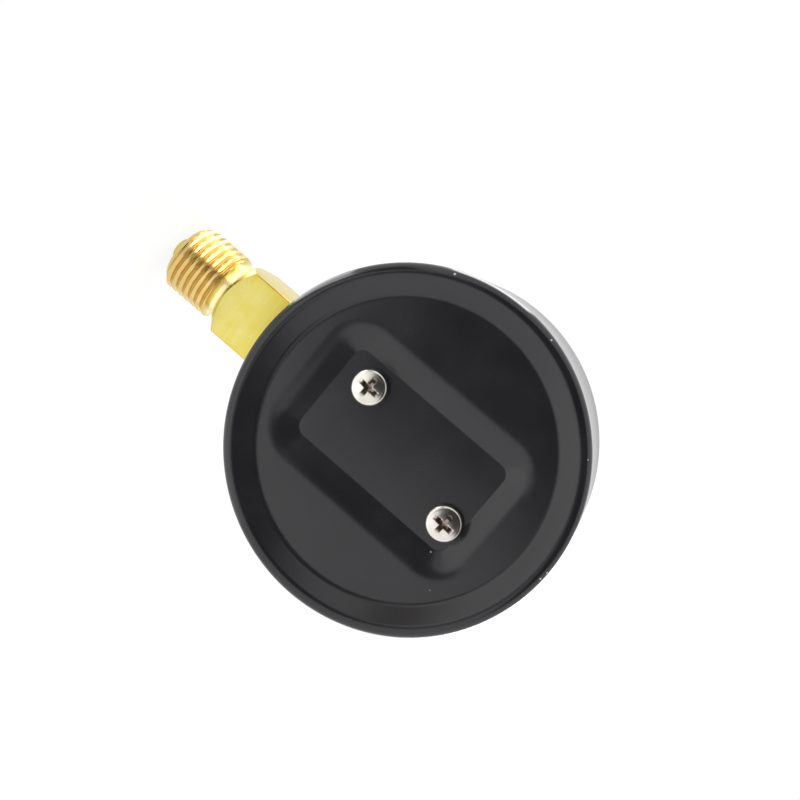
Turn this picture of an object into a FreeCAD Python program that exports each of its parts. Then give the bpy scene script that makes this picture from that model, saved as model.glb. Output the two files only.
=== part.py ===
import FreeCAD, Part
import math
import os

import Sketcher

# Capsule pressure gauge: a round steel case on a brass connection, with a pressure capsule, a rocker,
# a geared movement, a dial and a pointer inside.
# Every piece is drawn in the dial's own frame: x to the right and y up as the dial is read, z out of the
# dial, with z = 0 on the stem's axis and x = y = 0 on the pointer's axis. GAUGE_FRAME stands that frame
# upright: the stem points down, the dial faces -Y, and the origin is at the top of the thread.

doc = FreeCAD.newDocument("capsule_pressure_gauge")

SIZES = {
    # Case: drawn cup, its back sunk inside the rear rim, with a recess pressed into the back
    "case_radius": 34.0,
    "sheet": 0.7,
    "rim_depth": 10.7,
    "rim_round": 1.7,
    "panel_radius": 28.3,
    "panel_drop": 2.9,
    "recess_drop": 2.0,
    "recess_x": -0.7,
    "recess_y": -0.7,
    "floor_half_width": 10.1,
    "floor_half_height": 18.0,
    "floor_corner": 2.6,
    "recess_wall_run": 5.0,
    "mouth_end": 18.8,
    "stem_opening": 14.6,
    # Window: a clear moulded pane snapped into the mouth, its feet on the dial's edge
    "window_radius": 33.25,
    "window_front": 18.4,
    "window_pane": 1.8,
    "window_foot_reach": 31.8,
    "window_foot_half": 1.0,
    # Socket: turned stem with milled square, and the block that carries everything inside
    "centre_height": 47.3,
    "thread_radius": 7.0,
    "thread_length": 10.7,
    "thread_chamfer": 1.0,
    "spigot_radius": 2.3,
    "spigot_length": 1.9,
    "relief_radius": 6.0,
    "relief_length": 1.8,
    "square_width": 14.0,
    "square_corner_radius": 9.8,
    "square_cone": 3.0,
    "square_end": 24.6,
    "inlet_radius": 1.25,
    "inlet_top": 1.2,
    "block_half_width": 9.6,
    "block_top": 23.0,
    "block_front": 2.2,
    "low_screw_x": 4.5,
    "low_screw_y": -12.4,
    "high_screw_x": -5.6,
    "high_screw_y": 14.1,
    "screw_radius": 1.75,
    "screw_depth": 6.0,
    "screw_head_radius": 3.35,
    "screw_head_height": 2.2,
    "screw_head_round": 0.8,
    # Capsule: two diaphragms welded at their rims and sealed for good, on a turned nipple
    "capsule_radius": 17.0,
    "capsule_hub": 4.0,
    "capsule_rear": 2.6,
    "capsule_front": 5.4,
    "capsule_bulge": 0.6,
    "nipple_radius": 1.5,
    "nipple_length": 1.5,
    "post_radius": 1.0,
    # Rocker: the capsule's post pushes the arm, and the finger swings the sector
    "rocker_y": 3.2,
    "rocker_z": 7.8,
    "rocker_rest_angle": 12.45,
    "rocker_radius": 0.6,
    "rocker_gap": 0.05,
    "lever_eye": 1.2,
    "lever_half_width": 0.4,
    "arm_thickness": 1.0,
    "arm_height": 0.5,
    "nose_half": 0.3,
    "nose_drop": 0.5,
    "finger_thickness": 0.6,
    "finger_x": -12.6,
    "finger_reach": 3.3,
    # Movement cage: a folded back plate with feet, lugs and pillars, and a flat front plate
    "back_plate_rear": 9.2,
    "front_plate_rear": 12.2,
    "plate": 0.7,
    "plate_left": -19.0,
    "plate_right": 12.0,
    "plate_half_height": 13.5,
    "leg_half_width": 6.0,
    "leg_y": 18.4,
    "foot_end": 22.8,
    "lug_right": 4.6,
    "lug_left": -10.9,
    "lug_half_height": 1.5,
    "lug_rear": 6.7,
    "pillar_low": 8.0,
    "pillar_high": 11.0,
    "tongue_inset": 0.75,
    # Gears: a sector drives the pinion on the pointer's arbor
    "gear_module": 0.25,
    "pinion_teeth": 10,
    "sector_teeth_full": 120,
    "sector_teeth": 11,
    "pressure_angle": 20.0,
    "sector_addendum": 0.15,
    "pinion_addendum": 0.25,
    "tip_clearance": 0.06,
    "tooth_thinning": 0.03,
    "pointer_sweep": 270.0,
    "sector_rear": 10.5,
    "sector_plate": 0.6,
    "sector_tail": 3.0,
    "sector_tail_half": 1.6,
    "sector_slot_radius": 3.33,
    "sector_slot_length": 1.3,
    "sector_slot_width": 1.3,
    "arbor_radius": 0.7,
    "running_gap": 0.05,
    "spring_start": 0.71,
    "spring_pitch": 1.1,
    "spring_half_turns": 3,
    "spring_strip": 0.12,
    "spring_height": 0.45,
    "spring_rear": 11.5,
    # Dial and pointer
    "dial_radius": 32.6,
    "dial": 0.5,
    "dial_hole": 2.5,
    "stop_radius": 20.0,
    "stop_width": 0.5,
    "stop_height": 1.8,
    "pointer_rear": 14.4,
    "pointer_sheet": 0.3,
    "pointer_tip": 24.0,
    "pointer_tail": 9.0,
    "pointer_root_half": 1.4,
    "pointer_tip_half": 0.25,
    "pointer_tail_half": 1.8,
    "bush_radius": 2.4,
    "bush_front": 15.4,
}

# The driving dimensions, one aliased cell each
sheet = doc.addObject("Spreadsheet::Sheet", "sizes")
for row, (alias, value) in enumerate(SIZES.items(), start=1):
    sheet.set(f"A{row}", alias)
    sheet.set(f"B{row}", str(value))
    sheet.setAlias(f"B{row}", alias)
doc.recompute()

GAUGE_FRAME = FreeCAD.Placement(
    FreeCAD.Vector(0, 0, sheet.centre_height), FreeCAD.Rotation(FreeCAD.Vector(1, 0, 0), 90)
)
REST_DIRECTION = 225.0
PIECES = []

# Derived places along z that several pieces share, as expressions of the sheet
PANEL_OUT = "-sizes.rim_depth + sizes.panel_drop"
PANEL_IN = f"{PANEL_OUT} + sizes.sheet"
FLOOR_OUT = f"{PANEL_OUT} + sizes.recess_drop"
FLOOR_IN = f"{FLOOR_OUT} + sizes.sheet"
FLOOR_WIDE = "sizes.floor_half_width"
FLOOR_TALL = "sizes.floor_half_height"
FRONT_PLATE_FRONT = "sizes.front_plate_rear + sizes.plate"
DIAL_FRONT = f"{FRONT_PLATE_FRONT} + sizes.dial"
POINTER_FRONT = "sizes.pointer_rear + sizes.pointer_sheet"
SQUARE_FOOT = "sizes.centre_height - sizes.relief_length"
SOCKET_SCREWS = [(f"sizes.{place}_screw_x", f"sizes.{place}_screw_y") for place in ("low", "high")]

# The pointer's arbor stands on the axis; the sector's is both pitch radii away, level with the rocker
SECTOR_RADIUS = sheet.gear_module * sheet.sector_teeth_full / 2
PINION_RADIUS = sheet.gear_module * sheet.pinion_teeth / 2
SECTOR_X = -math.sqrt((SECTOR_RADIUS + PINION_RADIUS) ** 2 - sheet.rocker_y ** 2)
CENTRES = "(sizes.gear_module * (sizes.sector_teeth_full + sizes.pinion_teeth) / 2)"
ARBORS = [("0", "0"), (f"-sqrt({CENTRES}^2 - sizes.rocker_y^2)", "sizes.rocker_y")]


def local_frame(x=0.0, y=0.0, z=0.0, axis=(0, 0, 1), angle=0.0):
    """A place in the dial's frame, turned about one axis there, as a placement in the object's frame."""
    rotation = FreeCAD.Rotation(FreeCAD.Vector(*axis), angle)
    return GAUGE_FRAME.multiply(FreeCAD.Placement(FreeCAD.Vector(x, y, z), rotation))


def new_body(label, placement=GAUGE_FRAME):
    body = doc.addObject("PartDesign::Body", label)
    body.Label = label
    body.Placement = placement
    PIECES.append(body)
    return body


def new_sketch(body, role, offset="0", across="0", up="0"):
    """A sketch on one of the body's own origin planes, moved along that plane's normal and within it."""
    sketch = body.newObject("Sketcher::SketchObject", body.Label + "_sketch")
    plane = next(feature for feature in body.Origin.OriginFeatures if feature.Role == role)
    sketch.AttachmentSupport = [(plane, "")]
    sketch.MapMode = "FlatFace"
    sketch.setExpression("AttachmentOffset.Base.z", offset)
    sketch.setExpression("AttachmentOffset.Base.x", across)
    sketch.setExpression("AttachmentOffset.Base.y", up)
    return sketch


def bind(sketch, constraint, expression):
    index = sketch.addConstraint(constraint)
    sketch.setExpression(f"Constraints[{index}]", expression)


def draw_outline(sketch, corners):
    """A closed outline of straight lines; each corner is a pair of expressions."""
    count = len(corners)
    turn = 2 * math.pi / count
    ring = [FreeCAD.Vector(9 * math.cos(i * turn), 9 * math.sin(i * turn), 0) for i in range(count)]
    first = sketch.GeometryCount
    for i in range(count):
        sketch.addGeometry(Part.LineSegment(ring[i], ring[(i + 1) % count]))
    for i in range(count):
        sketch.addConstraint(Sketcher.Constraint("Coincident", first + i, 2, first + (i + 1) % count, 1))
    for i, (across, up) in enumerate(corners):
        bind(sketch, Sketcher.Constraint("DistanceX", first + i, 1, ring[i].x), across)
        bind(sketch, Sketcher.Constraint("DistanceY", first + i, 1, ring[i].y), up)


def draw_circle(sketch, across, up, radius):
    circle = Part.Circle(FreeCAD.Vector(1, 1, 0), FreeCAD.Vector(0, 0, 1), 1)
    index = sketch.addGeometry(circle)
    bind(sketch, Sketcher.Constraint("DistanceX", index, 3, 1.0), across)
    bind(sketch, Sketcher.Constraint("DistanceY", index, 3, 1.0), up)
    bind(sketch, Sketcher.Constraint("Radius", index, 1.0), radius)


def draw_box(sketch, left, right, low, high):
    draw_outline(sketch, [(left, low), (right, low), (right, high), (left, high)])


def draw_centred_box(sketch, half_width, half_height):
    draw_box(sketch, f"-({half_width})", half_width, f"-({half_height})", half_height)


def draw_rounded_box(sketch, half_width, half_height, corner, grow, grow_value):
    """A box round the sketch's origin, its corners rounded about fixed centres and grown on all sides."""
    wide = getattr(sheet, half_width) - getattr(sheet, corner)
    tall = getattr(sheet, half_height) - getattr(sheet, corner)
    radius = getattr(sheet, corner) + grow_value
    arcs = []
    for i, (side, level) in enumerate(((1, 1), (-1, 1), (-1, -1), (1, -1))):
        circle = Part.Circle(FreeCAD.Vector(side * wide, level * tall, 0), FreeCAD.Vector(0, 0, 1), radius)
        start = i * math.pi / 2
        arcs.append(sketch.addGeometry(Part.ArcOfCircle(circle, start, start + math.pi / 2)))
        sign = "" if side > 0 else "-"
        bind(sketch, Sketcher.Constraint("DistanceX", arcs[i], 3, side * wide),
             f"{sign}(sizes.{half_width} - sizes.{corner})")
        sign = "" if level > 0 else "-"
        bind(sketch, Sketcher.Constraint("DistanceY", arcs[i], 3, level * tall),
             f"{sign}(sizes.{half_height} - sizes.{corner})")
        bind(sketch, Sketcher.Constraint("Radius", arcs[i], radius), f"sizes.{corner} + {grow}")
    for i in range(4):
        following = arcs[(i + 1) % 4]
        start = sketch.Geometry[arcs[i]].EndPoint
        end = sketch.Geometry[following].StartPoint
        line = sketch.addGeometry(Part.LineSegment(start, end))
        sketch.addConstraint(Sketcher.Constraint("Tangent", arcs[i], 2, line, 1))
        sketch.addConstraint(Sketcher.Constraint("Tangent", line, 2, following, 1))


def add_pad(body, sketch, length):
    pad = body.newObject("PartDesign::Pad", body.Label + "_pad")
    pad.Profile = sketch
    pad.setExpression("Length", length)
    doc.recompute()
    return pad


def add_pocket(body, sketch, length, forward=False):
    """Cut along the sketch's normal when forward, against it otherwise; the cut has to remove something."""
    before = body.Shape.Volume
    pocket = body.newObject("PartDesign::Pocket", body.Label + "_pocket")
    pocket.Profile = sketch
    pocket.setExpression("Length", length)
    pocket.Reversed = forward
    doc.recompute()
    if body.Shape.Volume >= before:
        raise ValueError(f"a pocket in {body.Label} cuts nothing")
    return pocket


def add_loft(body, kind, first, last):
    loft = body.newObject(f"PartDesign::{kind}", body.Label + "_loft")
    loft.Profile = first
    loft.Sections = [last]
    loft.Ruled = True
    doc.recompute()
    return loft


def add_revolution(body, sketch):
    turned = body.newObject("PartDesign::Revolution", body.Label + "_turned")
    turned.Profile = sketch
    turned.ReferenceAxis = (sketch, ["V_Axis"])
    turned.Angle = 360
    doc.recompute()
    return turned


def turned_body(label, corners, placement=GAUGE_FRAME):
    """A piece turned about the body's z axis from an outline of (radius, z) corners."""
    body = new_body(label, placement)
    sketch = new_sketch(body, "XZ_Plane")
    draw_outline(sketch, corners)
    add_revolution(body, sketch)
    return body


def pad_circles(body, rear, length, circles):
    sketch = new_sketch(body, "XY_Plane", rear)
    for across, up, radius in circles:
        draw_circle(sketch, across, up, radius)
    return add_pad(body, sketch, length)


def pocket_circles(body, rear, length, circles):
    """Round holes that run forward from the plane at rear."""
    sketch = new_sketch(body, "XY_Plane", rear)
    for across, up, radius in circles:
        draw_circle(sketch, across, up, radius)
    return add_pocket(body, sketch, length, forward=True)


def add_shape(label, shape, placement=GAUGE_FRAME):
    """A piece whose outline is worked out in code, such as a toothed wheel or a spiral."""
    piece = doc.addObject("Part::Feature", label)
    piece.Label = label
    piece.Shape = shape
    piece.Placement = placement
    PIECES.append(piece)
    return piece


# Case: the cup is turned in one profile, then the recess is pressed into its back and the holes are pierced
def recess_sketch(case, depth):
    """A sketch across the back, centred on the recess, which sits a little off the case's axis."""
    return new_sketch(case, "XY_Plane", depth, across="sizes.recess_x", up="sizes.recess_y")


def build_case():
    rim = []
    for angle in (0, 45, 90):
        across = f"sizes.case_radius - sizes.rim_round * (1 - cos({angle}))"
        rim.append((across, f"-sizes.rim_depth + sizes.rim_round * (1 - sin({angle}))"))
    case = turned_body("case", [
        ("sizes.case_radius", "sizes.mouth_end"),
        *rim,
        ("sizes.panel_radius", PANEL_OUT),
        ("0", PANEL_OUT),
        ("0", PANEL_IN),
        ("sizes.case_radius - sizes.sheet", PANEL_IN),
        ("sizes.case_radius - sizes.sheet", "sizes.mouth_end"),
    ])
    # The bulge of the recess stands out inside the case, and its hollow is cut from behind
    run = "sizes.recess_wall_run"
    bulge_mouth = recess_sketch(case, f"{PANEL_IN} - sizes.sheet / 2")
    draw_centred_box(bulge_mouth, f"{FLOOR_WIDE} + {run}", f"{FLOOR_TALL} + {run}")
    bulge_floor = recess_sketch(case, FLOOR_IN)
    draw_centred_box(bulge_floor, FLOOR_WIDE, FLOOR_TALL)
    add_loft(case, "AdditiveLoft", bulge_mouth, bulge_floor)
    hollow_mouth = recess_sketch(case, PANEL_OUT)
    draw_rounded_box(hollow_mouth, "floor_half_width", "floor_half_height", "floor_corner",
                     run, sheet.recess_wall_run)
    hollow_floor = recess_sketch(case, FLOOR_OUT)
    draw_rounded_box(hollow_floor, "floor_half_width", "floor_half_height", "floor_corner", "0", 0.0)
    add_loft(case, "SubtractiveLoft", hollow_mouth, hollow_floor)
    pocket_circles(case, f"{FLOOR_OUT} - 0.1", "sizes.sheet + 0.2",
                   [(x, y, "sizes.screw_radius + 0.15") for x, y in SOCKET_SCREWS])
    opening = new_sketch(case, "XZ_Plane", "sizes.case_radius - 5 * sizes.sheet")
    draw_centred_box(opening, "sizes.stem_opening / 2", "sizes.stem_opening / 2")
    add_pocket(case, opening, "6 * sizes.sheet", forward=True)


def build_window():
    window = new_body("window")
    pane_rear = "sizes.window_front - sizes.window_pane"
    pad_circles(window, pane_rear, "sizes.window_pane", [("0", "0", "sizes.window_radius")])
    feet = new_sketch(window, "XY_Plane", DIAL_FRONT)
    near = "sizes.window_foot_reach - sizes.window_foot_half"
    far = "sizes.window_foot_reach"
    half = "sizes.window_foot_half"
    for sign in ("", "-"):
        draw_box(feet, f"{sign}({near})", f"{sign}{far}", f"-{half}", half)
        draw_box(feet, f"-{half}", half, f"{sign}({near})", f"{sign}{far}")
    add_pad(window, feet, f"{pane_rear} - ({DIAL_FRONT})")


# Socket: the stem is turned, its flats are milled, the block is added and the pressure way is drilled
def build_socket():
    socket = new_body("socket")
    turned = new_sketch(socket, "XY_Plane")
    thread_end = "-sizes.centre_height - sizes.thread_length"
    cone_top = f"-({SQUARE_FOOT}) + sizes.square_cone"
    draw_outline(turned, [
        ("0", f"{thread_end} - sizes.spigot_length"),
        ("sizes.spigot_radius", f"{thread_end} - sizes.spigot_length"),
        ("sizes.spigot_radius", thread_end),
        ("sizes.thread_radius - sizes.thread_chamfer", thread_end),
        ("sizes.thread_radius", f"{thread_end} + sizes.thread_chamfer"),
        ("sizes.thread_radius", "-sizes.centre_height"),
        ("sizes.relief_radius", "-sizes.centre_height"),
        ("sizes.relief_radius", f"-({SQUARE_FOOT})"),
        ("sizes.square_corner_radius", cone_top),
        ("sizes.square_corner_radius", "-sizes.square_end"),
        ("0", "-sizes.square_end"),
    ])
    add_revolution(socket, turned)
    flats = new_sketch(socket, "XZ_Plane", "sizes.square_end")
    draw_circle(flats, "0", "0", "2 * sizes.square_width")
    draw_centred_box(flats, "sizes.square_width / 2", "sizes.square_width / 2")
    add_pocket(socket, flats, f"{SQUARE_FOOT} - sizes.square_end", forward=True)
    block = new_sketch(socket, "XY_Plane", FLOOR_IN)
    half = "sizes.block_half_width"
    draw_box(block, f"-{half}", half, "-sizes.square_end", "sizes.block_top")
    add_pad(socket, block, f"sizes.block_front - ({FLOOR_IN})")
    inlet = new_sketch(socket, "XZ_Plane", "-sizes.inlet_top")
    draw_circle(inlet, "0", "0", "sizes.inlet_radius")
    add_pocket(socket, inlet, "2 * sizes.centre_height", forward=True)
    pocket_circles(socket, "0", "sizes.block_front + 0.1", [("0", "0", "sizes.nipple_radius + 0.02")])
    pocket_circles(socket, f"{FLOOR_IN} - 0.1", "sizes.screw_depth",
                   [(x, y, "sizes.screw_radius + 0.02") for x, y in SOCKET_SCREWS])


# Socket screws: two pan heads on the recess floor, with their shanks in the block
def build_socket_screws():
    head_rear = f"{FLOOR_OUT} - sizes.screw_head_height"
    rounded = [(f"sizes.screw_head_radius - sizes.screw_head_round * (1 - sin({angle}))",
                f"{head_rear} + sizes.screw_head_round * (1 - cos({angle}))") for angle in (0, 90)]
    screws = new_body("socket_screws")
    for x, y in SOCKET_SCREWS:
        profile = new_sketch(screws, "XZ_Plane", f"-({y})", across=x)
        draw_outline(profile, [
            ("0", head_rear),
            *rounded,
            ("sizes.screw_head_radius", FLOOR_OUT),
            ("sizes.screw_radius", FLOOR_OUT),
            ("sizes.screw_radius", f"{FLOOR_OUT} + sizes.screw_depth"),
            ("0", f"{FLOOR_OUT} + sizes.screw_depth"),
        ])
        add_revolution(screws, profile)


# Capsule: the nipple in the block carries the sealed capsule, and the post stands on its free side
def build_capsule():
    nipple = new_body("capsule_nipple")
    rear = "sizes.block_front - sizes.nipple_length"
    pad_circles(nipple, rear, f"sizes.capsule_rear - ({rear})", [("0", "0", "sizes.nipple_radius")])
    turned_body("capsule", [
        ("0", "sizes.capsule_rear"),
        ("sizes.capsule_radius", "sizes.capsule_rear"),
        ("sizes.capsule_radius", "sizes.capsule_front - sizes.capsule_bulge"),
        ("sizes.capsule_hub", "sizes.capsule_front - sizes.capsule_bulge"),
        ("sizes.capsule_hub", "sizes.capsule_front"),
        ("0", "sizes.capsule_front"),
    ])
    front = "sizes.capsule_front"
    tilt = "sizes.rocker_rest_angle"
    nose = f"(sizes.rocker_y + sizes.nose_half) * sin({tilt}) + sizes.nose_drop * cos({tilt})"
    top = f"sizes.rocker_z - ({nose}) - sizes.rocker_gap"
    post = new_body("capsule_post")
    pad_circles(post, front, f"{top} - ({front})", [("0", "0", "sizes.post_radius")])


# Rocker: the shaft turns in the back plate's lugs; the arm rides on the post, the finger drives the sector
def add_lever(label, placement, left, thickness, corners):
    """A flat stamped lever across the shaft, with its eye on the shaft."""
    lever = new_body(label, placement)
    plan = new_sketch(lever, "YZ_Plane", left)
    draw_outline(plan, corners)
    add_pad(lever, plan, thickness)
    bore = new_sketch(lever, "YZ_Plane", f"{left} - 0.1")
    draw_circle(bore, "0", "0", "sizes.rocker_radius + 0.01")
    add_pocket(lever, bore, f"{thickness} + 0.2", forward=True)


def build_rocker():
    rest = local_frame(y=sheet.rocker_y, z=sheet.rocker_z, axis=(1, 0, 0), angle=sheet.rocker_rest_angle)
    shaft = new_body("rocker_shaft", rest)
    section = new_sketch(shaft, "YZ_Plane", "sizes.finger_x - 1")
    draw_circle(section, "0", "0", "sizes.rocker_radius")
    add_pad(shaft, section, "sizes.lug_right + 2 * sizes.plate - sizes.finger_x + 1")
    eye = "sizes.lever_eye"
    flat = "0.5 * sizes.lever_eye"
    half = "sizes.lever_half_width"
    tip = "sizes.rocker_y"
    high = "sizes.arm_height"
    nose = "sizes.nose_half"
    low = "-sizes.nose_drop"
    end = f"-{tip} - {nose} - 0.1"
    add_lever("rocker_arm", rest, "-sizes.arm_thickness / 2", "sizes.arm_thickness", [
        (eye, f"-{flat}"), (eye, flat), (flat, eye), (f"-{flat}", eye), (f"-{eye}", high),
        (end, high), (end, "0"), (f"-{tip} - {nose}", low), (f"-{tip} + {nose}", low),
        (f"-{tip} + {nose} + 0.1", "0"), (f"-{eye}", "0"), (f"-{flat}", f"-{eye}"), (flat, f"-{eye}"),
    ])
    reach = "sizes.finger_reach"
    left = "sizes.finger_x - sizes.finger_thickness / 2"
    add_lever("rocker_finger", rest, left, "sizes.finger_thickness", [
        (f"-{flat}", f"-{eye}"), (flat, f"-{eye}"), (eye, f"-{flat}"), (eye, flat), (half, eye),
        (half, reach), (f"-{half}", reach), (f"-{half}", eye), (f"-{eye}", flat), (f"-{eye}", f"-{flat}"),
    ])


# Movement cage: the folded back plate stands on its feet, and its pillars' tongues carry the front plate
def build_cage():
    back = new_body("back_plate")
    plan = new_sketch(back, "XY_Plane", "sizes.back_plate_rear")
    leg = "sizes.leg_half_width"
    leg_out = "sizes.leg_y + sizes.plate"
    high = "sizes.plate_half_height"
    draw_outline(plan, [
        ("sizes.plate_left", f"-{high}"), (f"-{leg}", f"-{high}"), (f"-{leg}", f"-({leg_out})"),
        (leg, f"-({leg_out})"), (leg, f"-{high}"), ("sizes.plate_right", f"-{high}"),
        ("sizes.plate_right", high), (leg, high), (leg, leg_out),
        (f"-{leg}", leg_out), (f"-{leg}", high), ("sizes.plate_left", high),
    ])
    add_pad(back, plan, "sizes.plate")
    legs = new_sketch(back, "XY_Plane", "sizes.block_front")
    feet = new_sketch(back, "XY_Plane", "sizes.block_front")
    for sign in ("", "-"):
        draw_box(legs, f"-{leg}", leg, f"{sign}sizes.leg_y", f"{sign}({leg_out})")
        draw_box(feet, f"-{leg}", leg, f"{sign}sizes.leg_y", f"{sign}sizes.foot_end")
    add_pad(back, legs, "sizes.back_plate_rear - sizes.block_front")
    add_pad(back, feet, "sizes.plate")
    for left in ("sizes.lug_right", "sizes.lug_left"):
        lug = new_sketch(back, "YZ_Plane", left)
        draw_box(lug, "sizes.rocker_y - sizes.lug_half_height", "sizes.rocker_y + sizes.lug_half_height",
                 "sizes.lug_rear", "sizes.back_plate_rear")
        add_pad(back, lug, "sizes.plate")
    for inset, length in (("0", "sizes.front_plate_rear - sizes.back_plate_rear"),
                          ("sizes.tongue_inset", f"{FRONT_PLATE_FRONT} - sizes.back_plate_rear")):
        tabs = new_sketch(back, "XY_Plane", "sizes.back_plate_rear")
        for left, right, low, high_end in pillar_boxes(inset):
            draw_box(tabs, left, right, low, high_end)
        add_pad(back, tabs, length)
    pivot = new_sketch(back, "YZ_Plane", "sizes.lug_left - 1")
    draw_circle(pivot, "sizes.rocker_y", "sizes.rocker_z", "sizes.rocker_radius + sizes.running_gap")
    add_pocket(back, pivot, "sizes.lug_right - sizes.lug_left + 2 + sizes.plate", forward=True)
    pocket_circles(back, "sizes.back_plate_rear - 0.1", "sizes.plate + 0.2",
                   [(x, y, "sizes.arbor_radius + sizes.running_gap") for x, y in ARBORS])
    slot = new_sketch(back, "XY_Plane", "sizes.back_plate_rear - 0.1")
    draw_box(slot, "sizes.finger_x - 0.75", "sizes.finger_x + 0.75",
             "sizes.rocker_y - 1.3", "sizes.rocker_y + 1.3")
    add_pocket(back, slot, "sizes.plate + 0.2", forward=True)

    front = new_body("front_plate")
    plan = new_sketch(front, "XY_Plane", "sizes.front_plate_rear")
    draw_box(plan, "sizes.plate_left - 0.5", "sizes.plate_right + 0.5", f"-{high}", high)
    add_pad(front, plan, "sizes.plate")
    pocket_circles(front, "sizes.front_plate_rear - 0.1", "sizes.plate + 0.2",
                   [(x, y, "sizes.arbor_radius + sizes.running_gap") for x, y in ARBORS])
    slots = new_sketch(front, "XY_Plane", "sizes.front_plate_rear - 0.1")
    for left, right, low, high_end in pillar_boxes("sizes.tongue_inset - 0.02"):
        draw_box(slots, f"{left} - 0.02", f"{right} + 0.02", low, high_end)
    add_pocket(front, slots, "sizes.plate + 0.2", forward=True)


def pillar_boxes(inset):
    """The four folded pillars at the plate's edges, each as left, right, low and high, narrowed by inset."""
    sides = [("sizes.plate_left", "sizes.plate_left + sizes.plate"),
             ("sizes.plate_right - sizes.plate", "sizes.plate_right")]
    heights = [("sizes.pillar_low", "sizes.pillar_high"), ("-sizes.pillar_high", "-sizes.pillar_low")]
    return [(left, right, f"{low} + {inset}", f"{high} - ({inset})")
            for left, right in sides for low, high in heights]


# Gears: involute flanks, with the sector's teeth short and the pinion's long so that ten teeth run freely
def polar(radius, angle):
    return FreeCAD.Vector(radius * math.cos(angle), radius * math.sin(angle), 0)


def tooth_outline(pitch_radius, teeth_full, count, tip, root, first_angle):
    """The edges of count teeth, counter-clockwise, from the first tooth's foot to the last one's."""
    pressure = math.radians(sheet.pressure_angle)
    base = pitch_radius * math.cos(pressure)
    half_tooth = (math.pi * sheet.gear_module / 2 - sheet.tooth_thinning) / (2 * pitch_radius)
    half_base = half_tooth + math.tan(pressure) - pressure
    pitch = 2 * math.pi / teeth_full

    def flank_angle(radius):
        roll = math.acos(min(1.0, base / radius))
        return half_base - (math.tan(roll) - roll)

    low = max(base, root)
    middle = (low + tip) / 2
    edges = []
    previous = None
    for i in range(count):
        centre = first_angle + i * pitch
        rise = [polar(r, centre - flank_angle(r)) for r in (low, middle, tip)]
        fall = [polar(r, centre + flank_angle(r)) for r in (tip, middle, low)]
        foot_in = polar(root, centre - flank_angle(low))
        foot_out = polar(root, centre + flank_angle(low))
        if previous is not None:
            edges.append(Part.makeLine(previous, foot_in))
        if low > root:
            edges.append(Part.makeLine(foot_in, rise[0]))
        edges.append(Part.Arc(*rise).toShape())
        edges.append(Part.makeLine(rise[2], fall[0]))
        edges.append(Part.Arc(*fall).toShape())
        if low > root:
            edges.append(Part.makeLine(fall[2], foot_out))
        previous = foot_out
    return edges


def extrude_edges(edges, rear, height):
    face = Part.Face(Part.Wire(Part.__sortEdges__(edges)))
    return face.translated(FreeCAD.Vector(0, 0, rear)).extrude(FreeCAD.Vector(0, 0, height))


def disc(radius, rear, height, x=0.0, y=0.0):
    return Part.makeCylinder(radius, height, FreeCAD.Vector(x, y, rear))


def build_gears():
    # Half way through the sweep a tooth of the sector stands on the line of centres
    centre_line = math.degrees(math.atan2(-sheet.rocker_y, -SECTOR_X))
    half_swing = sheet.pointer_sweep * sheet.pinion_teeth / sheet.sector_teeth_full / 2
    tip = SECTOR_RADIUS + sheet.sector_addendum
    root = SECTOR_RADIUS - sheet.pinion_addendum - sheet.tip_clearance
    pitch = 2 * math.pi / sheet.sector_teeth_full
    first = -(sheet.sector_teeth - 1) / 2 * pitch
    teeth = tooth_outline(SECTOR_RADIUS, sheet.sector_teeth_full, sheet.sector_teeth, tip, root, first)
    corners = [teeth[-1].Vertexes[-1].Point]
    for x, y in ((-1, 2), (-2, 1), (-2, -1), (-1, -2)):
        corners.append(FreeCAD.Vector(x * sheet.sector_tail / 2, y * sheet.sector_tail_half, 0))
    corners.append(teeth[0].Vertexes[0].Point)
    sides = [Part.makeLine(a, b) for a, b in zip(corners, corners[1:])]
    plate = extrude_edges(teeth + sides, 0, sheet.sector_plate)
    bore = disc(sheet.arbor_radius + 0.01, -1, sheet.sector_plate + 2)
    slot = Part.makeBox(sheet.sector_slot_length, sheet.sector_slot_width, sheet.sector_plate + 2)
    slot.translate(FreeCAD.Vector(sheet.sector_slot_radius - sheet.sector_slot_length / 2,
                                  -sheet.sector_slot_width / 2, -1))
    slot.rotate(FreeCAD.Vector(), FreeCAD.Vector(0, 0, 1), -centre_line)
    rest_angle = centre_line - half_swing
    at_sector = local_frame(SECTOR_X, sheet.rocker_y, sheet.sector_rear, angle=rest_angle)
    add_shape("sector_gear", plate.cut(bore).cut(slot).removeSplitter(), at_sector)
    arbor = new_body("sector_arbor")
    pad_circles(arbor, "sizes.back_plate_rear", f"{FRONT_PLATE_FRONT} - sizes.back_plate_rear",
                [(*ARBORS[1], "sizes.arbor_radius")])

    tip = PINION_RADIUS + sheet.pinion_addendum
    root = PINION_RADIUS - sheet.sector_addendum - sheet.tip_clearance
    teeth = tooth_outline(PINION_RADIUS, sheet.pinion_teeth, int(sheet.pinion_teeth), tip, root, 0.0)
    teeth.append(Part.makeLine(teeth[-1].Vertexes[-1].Point, teeth[0].Vertexes[0].Point))
    pinion_rear = sheet.sector_rear - 0.3
    pinion_height = sheet.sector_plate + 0.6
    arbor_end = sheet.pointer_rear + sheet.pointer_sheet
    shaft = disc(sheet.arbor_radius, sheet.back_plate_rear, arbor_end - sheet.back_plate_rear)
    arbor = shaft.fuse(extrude_edges(teeth, pinion_rear, pinion_height)).removeSplitter()
    # A space of the pinion faces the sector half way; the rest pose is half a sweep before that
    half_pitch = 180 / sheet.pinion_teeth
    rest_angle = centre_line + 180 + half_pitch + sheet.pointer_sweep / 2
    add_shape("pinion_arbor", arbor, local_frame(angle=rest_angle))


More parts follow.
